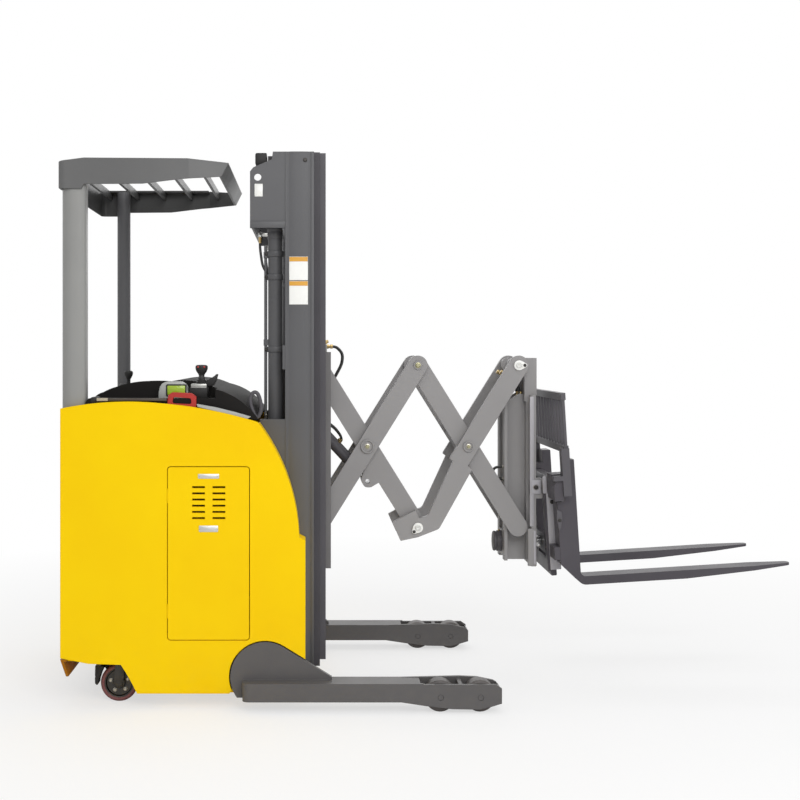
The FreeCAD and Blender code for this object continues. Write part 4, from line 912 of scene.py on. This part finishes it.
def caster():
    """The swivelling rear wheel: a cast hub with bolts under a red-brown tyre."""
    middle = middle_of("caster_wheel")
    low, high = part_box("caster_wheel")
    radius, half = (high.z - low.z) * 500, (high.y - low.y) * 500
    shape = Shape()
    shoulder = [(radius - 16.0, half - 1.0), (radius - 8.0, half), (radius - 3.0, half - 3.0),
                (radius, half - 9.0)]
    tyre = [(r, -along) for r, along in shoulder] + shoulder[::-1]
    shape.turned(middle, leftward, tyre, tyre_polyurethane, 56, ring=True)
    face = [(radius - 15.0, 0.0), (radius - 15.0, half - 2.0), (radius - 21.0, half - 3.0),
            (radius - 25.0, half - 12.0), (26.0, half - 13.0), (23.0, half - 3.0), (13.0, half - 1.5),
            (0.0, half - 1.5)]
    bolts, bolt_circle = 5, 37.0
    for way in (-1, 1):
        shape.turned(middle, (0, way, 0), face, dark_steel, 48)
        for number in range(bolts):
            turn = 2 * math.pi * number / bolts + 0.4
            spot = middle + Vector((math.cos(turn) * bolt_circle, way * (half - 12.5),
                                    math.sin(turn) * bolt_circle))
            shape.bolt(spot, (0, way, 0), 6.5, zinc_bolt)
    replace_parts(shape.piece("caster_detail", "caster_wheel", "wheel_polyurethane"), "caster_wheel")


def caster_fork():
    """The caster's swivel plate, its cheeks with an axle nut, and the brake pedal behind the wheel."""
    low, high = limits("caster_bracket")
    near, far, top = low[1], high[1], high[2]
    axle = middle_of("caster_wheel")
    pivot_x = axle.x - 54.0
    cheek_top, plate_top = 163, 173.0
    shape = Shape()
    narrow = [(axle.x - 16, axle.z - 14), (axle.x + 14, axle.z - 16), (axle.x + 22, axle.z + 30),
              (axle.x + 22, cheek_top), (axle.x - 14, cheek_top), (axle.x - 20, axle.z + 20)]
    wide = [(axle.x - 20, axle.z - 12), (axle.x + 16, axle.z - 14), (axle.x + 22, axle.z + 30),
            (axle.x + 22, cheek_top), (pivot_x - 30, cheek_top), (pivot_x - 22, 140)]
    shape.plate(narrow, near, near + 8.0, dark_steel)
    shape.plate(wide, far - 8.0, far, dark_steel)
    shape.turned((axle.x, near - 0.5, axle.z), leftward, [(11.5, 0.0), (11.5, far - near + 1.0)], dark_steel,
                 24)
    shape.box((pivot_x - 36.0, near, 162.0), (axle.x + 22.0, far, 174.0), dark_steel, 2.0)
    swivel = [(34.0, -1.0), (34.0, 6.0), (30.0, 9.0), (16.0, 9.0), (16.0, top - plate_top)]
    shape.turned((pivot_x, (near + far) / 2, plate_top), up, swivel, dark_steel, 36)
    pedal = [(-100, 148), (-62, 148), (-66, 132), (-80, 112), (-86, 92), (-85, 74), (-92, 67), (-100, 74),
             (-101, 96), (-97, 112)]
    shape.plate([(axle.x + x, z) for x, z in pedal], near + 10.0, far - 10.0, black_plastic, 3.0)
    shape.box((axle.x - 94.0, near + 12.0, 142.0), (pivot_x - 20.0, far - 12.0, 166.0), dark_steel, 2.0)
    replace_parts(shape.piece("caster_fork", "caster_bracket", "dark_grey_paint"), "caster_bracket")


# ---- Pantograph ----
top_z, low_z, cross_z = 1395.0, 685.3, 1040.1
top_1, low_1, top_2 = (458.8, top_z), (458.8, low_z), (900.5, top_z)
cross_1, cross_2 = (237.9, cross_z), (679.7, cross_z)
link_face = 168.0


def pin_end(shape, centre, side, ring, nut):
    """A pin's end on the links' outer face: a raised ring, a recess and a greasing nut."""
    x, z = centre
    start = (x, side * (link_face + 1.0), z)
    boss = [(ring - 7.0, -2.0), (ring, -2.0), (ring, 3.2), (ring - 1.2, 4.4), (ring - 5.8, 4.4),
            (ring - 7.0, 3.2), (ring - 7.0, 0.4), (0.0, 0.4)]
    washer = [(nut + 4.0, 0.0), (nut + 4.0, 2.0), (nut + 3.0, 2.6), (0.0, 2.6)]
    shape.turned(start, (0, side, 0), boss, link_coat, 40)
    shape.turned(start, (0, side, 0), washer, zinc_bolt)
    shape.turned(start, (0, side, 0), [(nut, 2.0), (nut, 6.5), (nut * 0.85, 7.6), (0.0, 7.6)], plated_nut,
                 hexagon)


def keeper(shape, centre, side, tail):
    """A white teardrop plate that keeps a pin, held by one bolt at its tail."""
    x, z = centre
    tail_x, tail_z = x + tail[0], z + tail[1]
    heading = math.atan2(tail[1], tail[0])
    outline = []
    for k in range(17):
        turn = heading + math.radians(58.0 + 244.0 * k / 16)
        outline.append((x + 22.0 * math.cos(turn), z + 22.0 * math.sin(turn)))
    for k in range(9):
        turn = heading + math.radians(-58.0 + 116.0 * k / 8)
        outline.append((tail_x + 10.0 * math.cos(turn), tail_z + 10.0 * math.sin(turn)))
    shape.plate(outline, *span(side, link_face - 0.5, link_face + 4.0), white_label, 0.8)
    cap = [(13.0, 0.0), (13.0, 1.6), (12.0, 2.4), (4.0, 2.4), (3.0, 1.2), (0.0, 1.2)]
    shape.turned((x, side * (link_face + 3.5), z), (0, side, 0), cap, silver_label)
    shape.bolt((tail_x, side * (link_face + 4.0), tail_z), (0, side, 0), 5.5, dark_steel)


def link_pins():
    """Pin ends and keepers on both outer faces of the links."""
    first, second = Shape(), Shape()
    x, z = top_1
    cap = [(20.0, -2.0), (20.0, 1.5), (18.6, 2.6), (0.0, 2.6)]
    for side in (-1, 1):
        pin_end(first, cross_1, side, 30.0, 9.0)
        first.turned((x, side * link_face, z), (0, side, 0), cap, link_coat, 32)
        first.bolt((x, side * (link_face + 2.5), z), (0, side, 0), 9.5, plated_nut)
        pin_end(second, cross_2, side, 24.0, 8.0)
        keeper(second, top_2, side, (25.0, 0.0))
        keeper(second, low_1, side, (-17.0, -17.0))
    first.piece("first_link_pins", "first_lower_link", "light_grey_paint")
    second.piece("second_link_pins", "second_upper_link", "light_grey_paint")


def reach_fittings():
    """Two hose tails and the loop between them on each reach cylinder, near its base end."""
    shape = Shape()
    base_end, rod_end = Vector((0.0, 0.0, 1142.0)), Vector((240.0, 0.0, 885.0))
    way = (rod_end - base_end).normalized()
    upward = Vector((-way.z, 0.0, way.x))
    for y in (-55.0, 55.0):
        ends = []
        for along in (48.0, 146.0):
            foot = base_end + way * along + Vector((0.0, y, 0.0))
            shape.turned(foot + upward * 20.0, upward, union(9.0, 0.0, 12.0, 7.0, 20.0), brass_fitting,
                         hexagon)
            ends.append(foot + upward * 38.0)
        first, last = ends
        loop = [first, first + upward * 8.0 + way * 14.0, (first + last) / 2 + upward * 12.0,
                last + upward * 8.0 - way * 14.0, last]
        shape.tube(loop, 5.5, hose_rubber)
    shape.piece("reach_fittings", "reach_cylinders", "valve_steel")


def valve_fittings():
    """Brass unions on the valve block, with three short hose loops down to the base."""
    high = limits("valve_block")[1]
    front, top = high[0], 1478.0
    shape = Shape()
    long_union = [(10.0, 0.0), (10.0, 8.0), (7.5, 9.0), (7.5, 17.0), (9.5, 18.0), (9.5, 27.0), (0.0, 27.5)]
    short_union = union(9.0, 0.0, 12.0, 7.0, 20.0, 2.0)
    for y in (-62.0, -30.0, 2.0, 34.0, 66.0):
        shape.turned((front - 1.0, y, top), forward, long_union, brass_fitting, hexagon)
        shape.turned((front - 12.0, y + 12.0, high[2] - 10.0), (0.9, 0, 0.35), short_union, brass_fitting,
                     hexagon)
    loop = [(24.0, 0.0, 0.0), (46.0, 0.0, -6.0), (68.0, -1.0, -34.0), (66.0, -2.0, -76.0),
            (44.0, -2.0, -122.0), (22.0, -1.0, -160.0), (8.0, 0.0, -182.0)]
    for y in (-62.0, -30.0, 34.0):
        shape.tube([(front + dx, y + dy, top + dz) for dx, dy, dz in loop], 6.0, hose_rubber)
        ferrule = [(8.0, -4.0), (8.0, 12.0), (0.0, 12.5)]
        shape.turned((front + 12.0, y, top - 176.0), (-0.6, 0, -1), ferrule, brass_fitting, hexagon)
    shape.piece("valve_fittings", "reach_base", "valve_steel")


# ---- Fork end ----
tilt_axis_z = 605.0
tilt_pin = (985.0, 856.0)
carriage_lean = math.radians(3.5)


def frame_fittings():
    """The fork frame's lower guides, strips and ears with their pin caps, and its hoses with their ends."""
    shape = Shape()
    ear_x, ear_z = 974.0, 862.0
    blocks = (((940.0, 150.0, 517.0), (978.0, 166.0, 680.0), channel_coat, 3.0),
              ((948.0, 159.0, 690.0), (966.0, 163.5, 1258.0), plate_coat, 1.5),
              ((964.0, 165.0, 526.0), (974.0, 168.0, 672.0), plate_coat, 1.0),
              ((953.0, 158.0, 833.0), (997.0, 167.0, 894.0), plate_coat, 3.0))
    cap = [(13.0, 0.0), (13.0, 2.0), (11.5, 3.0), (0.0, 3.0)]
    for side in (-1, 1):
        for (x0, y0, z0), (x1, y1, z1), finish, edge in blocks:
            y = span(side, y0, y1)
            shape.box((x0, y[0], z0), (x1, y[1], z1), finish, edge)
        shape.turned((ear_x, side * 166.5, ear_z), (0, side, 0), cap, channel_coat)
        shape.bolt((ear_x, side * 169.0, ear_z), (0, side, 0), 7.5, dark_steel)
        hose = [(852.0, 56.0, 1356.0), (866.0, 54.0, 1348.0), (886.0, 50.0, 1330.0), (912.0, 46.0, 1300.0),
                (926.0, 44.0, 1268.0)]
        shape.tube([(x, side * y, z) for x, y, z in hose], 6.5, hose_rubber)
        shape.turned((850.0, side * 56.0, 1357.0), (-0.85, 0, 0.5), union(8.0, -8.0, 8.0, 10.0, 18.0),
                     brass_fitting, hexagon)
        shape.turned((926.0, side * 44.0, 1270.0), (0.1, 0, -1), union(8.0, -6.0, 8.0, 10.0, 20.0),
                     brass_fitting, hexagon)
    loop = [(846, 944), (832, 944), (808, 938), (799, 921), (804, 902), (824, 891), (846, 889)]
    shape.tube([(x, -72.0, z) for x, z in loop], 6.0, hose_rubber)
    for x, z in (loop[0], loop[-1]):
        shape.turned((x + 2.0, -72.0, z), rearward, [(9.0, -3.0), (9.0, 8.0), (0.0, 8.5)], zinc_bolt, hexagon)
    shape.piece("frame_fittings", "fork_frame", "dark_grey_paint")


def tilt_barrel():
    """The tilt cylinder's short barrel with a screwed cap and a grease nipple."""
    front = limits("tilt_cylinder")[1][0]
    barrel = [(20.5, -36.0), (34.0, -38.0), (41.0, -37.0), (44.5, -34.0), (44.5, -27.0), (42.0, -25.0),
              (42.0, -22.0), (46.5, -20.0), (46.5, -1.0), (42.0, 0.0), (20.5, 0.0)]
    cap = [(0.0, -1.5), (14.0, -1.5), (20.8, 0.0), (20.8, 3.0), (0.0, 3.0)]
    nipple = [(5.0, 0.0), (5.0, 5.0), (2.5, 6.5), (0.0, 6.8)]
    shape = Shape()
    shape.turned((front, 0.0, tilt_axis_z), forward, barrel, frame_coat, 48, ring=True)
    shape.turned((front - 36.5, 0.0, tilt_axis_z), forward, cap, dark_steel, 36)
    shape.turned((front - 10.0, 0.0, tilt_axis_z + 45.0), up, nipple, brass_fitting, 10)
    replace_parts(shape.piece("tilt_barrel", "fork_frame", "dark_grey_paint"), "tilt_cylinder")


def leaning(x, z):
    """A place on the carriage, after its backward lean about the tilt pin."""
    dx, dz = x - tilt_pin[0], z - tilt_pin[1]
    cos, sin = math.cos(carriage_lean), math.sin(carriage_lean)
    return tilt_pin[0] + dx * cos - dz * sin, tilt_pin[1] + dx * sin + dz * cos


def carriage_fittings():
    """On each side of the carriage a cover plate with its horn, a latch clip and a short hose."""
    shape = Shape()
    cover = [leaning(x, z) for x, z in ((1010, 506), (1056, 506), (1056, 700), (1054, 838), (1010, 838))]
    horn = [leaning(x, z) for x, z in ((998, 838), (1016, 838), (1016, 905), (1012, 912), (1002, 912),
                                       (998, 905))]
    clip = [leaning(x, z) for x, z in ((1030, 780), (1050, 770), (1052, 742), (1044, 700), (1034, 690),
                                       (1028, 740))]
    route = [leaning(x, z) for x, z in ((1030, 800), (1016, 770), (1022, 720), (1034, 680), (1020, 645),
                                        (1016, 610))]
    for side in (-1, 1):
        shape.plate(cover, *span(side, 204.0, 209.0), plate_coat, 1.2)
        for height in (560.0, 800.0):
            x, z = leaning(1033.0, height)
            shape.bolt((x, side * 209.0, z), (0, side, 0), 7.0, dark_steel)
        shape.plate(horn, *span(side, 196.0, 210.0), plate_coat, 2.0)
        shape.plate(clip, *span(side, 322.0, 330.0), frame_coat)
        x, z = leaning(1040.0, 735.0)
        shape.bolt((x, side * 330.0, z), (0, side, 0), 6.0, dark_steel)
        y = side * 150.0
        shape.tube([(x, y, z) for x, z in route], 6.5, hose_rubber)
        for end, way in (((1030, 800), up), ((1016, 612), down)):
            x, z = leaning(*end)
            shape.turned((x, y, z), way, union(9.0, -10.0, 6.0, 10.5, 20.0), brass_fitting, hexagon)
    shape.piece("carriage_fittings", "fork_carriage", "dark_grey_paint")


door_plates()
standing_mat()
cabinet_louvres()
back_pad()
armrest_trim()
display()
control_stick()
steering_disc()
mast_faces()
mast_labels()
top_brackets()
lift_fittings()
load_wheels()
near_post()
caster()
caster_fork()
link_pins()
reach_fittings()
valve_fittings()
frame_fittings()
tilt_barrel()
carriage_fittings()

# ---- Floor ----
floor_half = 40.0
near_white = 0.62


def studio_floor():
    """A pale floor that fades to plain white away from the truck."""
    mesh = bpy.data.meshes.new("studio_floor")
    corners = [(-floor_half, -floor_half, 0.0), (floor_half, -floor_half, 0.0),
               (floor_half, floor_half, 0.0), (-floor_half, floor_half, 0.0)]
    mesh.from_pydata(corners, [], [(0, 1, 2, 3)])
    floor = in_scene("studio_floor", mesh)
    material, tree, shader = new_finish("pale_floor", Roughness=0.9)
    shade = blend_colour(tree, noise(tree, 1.5, 3.0), srgb("FAFAFA"), srgb("FCFCFC"))
    connect(tree, shader.inputs, {"Base Color": shade})
    distance = add_node(tree, "VectorMath", "LENGTH", (object_place(tree),)).outputs["Value"]
    paling = add_node(tree, "MapRange", Value=distance, From_Min=1.6, From_Max=4.5, To_Min=near_white,
                      To_Max=1.0)
    seen = add_node(tree, "LightPath").outputs["Is Camera Ray"]
    white = add_node(tree, "Emission").outputs["Emission"]
    mixed = add_node(tree, "MixShader")
    whiteness = product(tree, paling.outputs["Result"], seen)
    connect(tree, mixed.inputs, dict(enumerate((whiteness, shader.outputs["BSDF"], white))))
    connect(tree, tree.nodes["Material Output"].inputs, {"Surface": mixed.outputs["Shader"]})
    mesh.materials.append(material)


studio_floor()
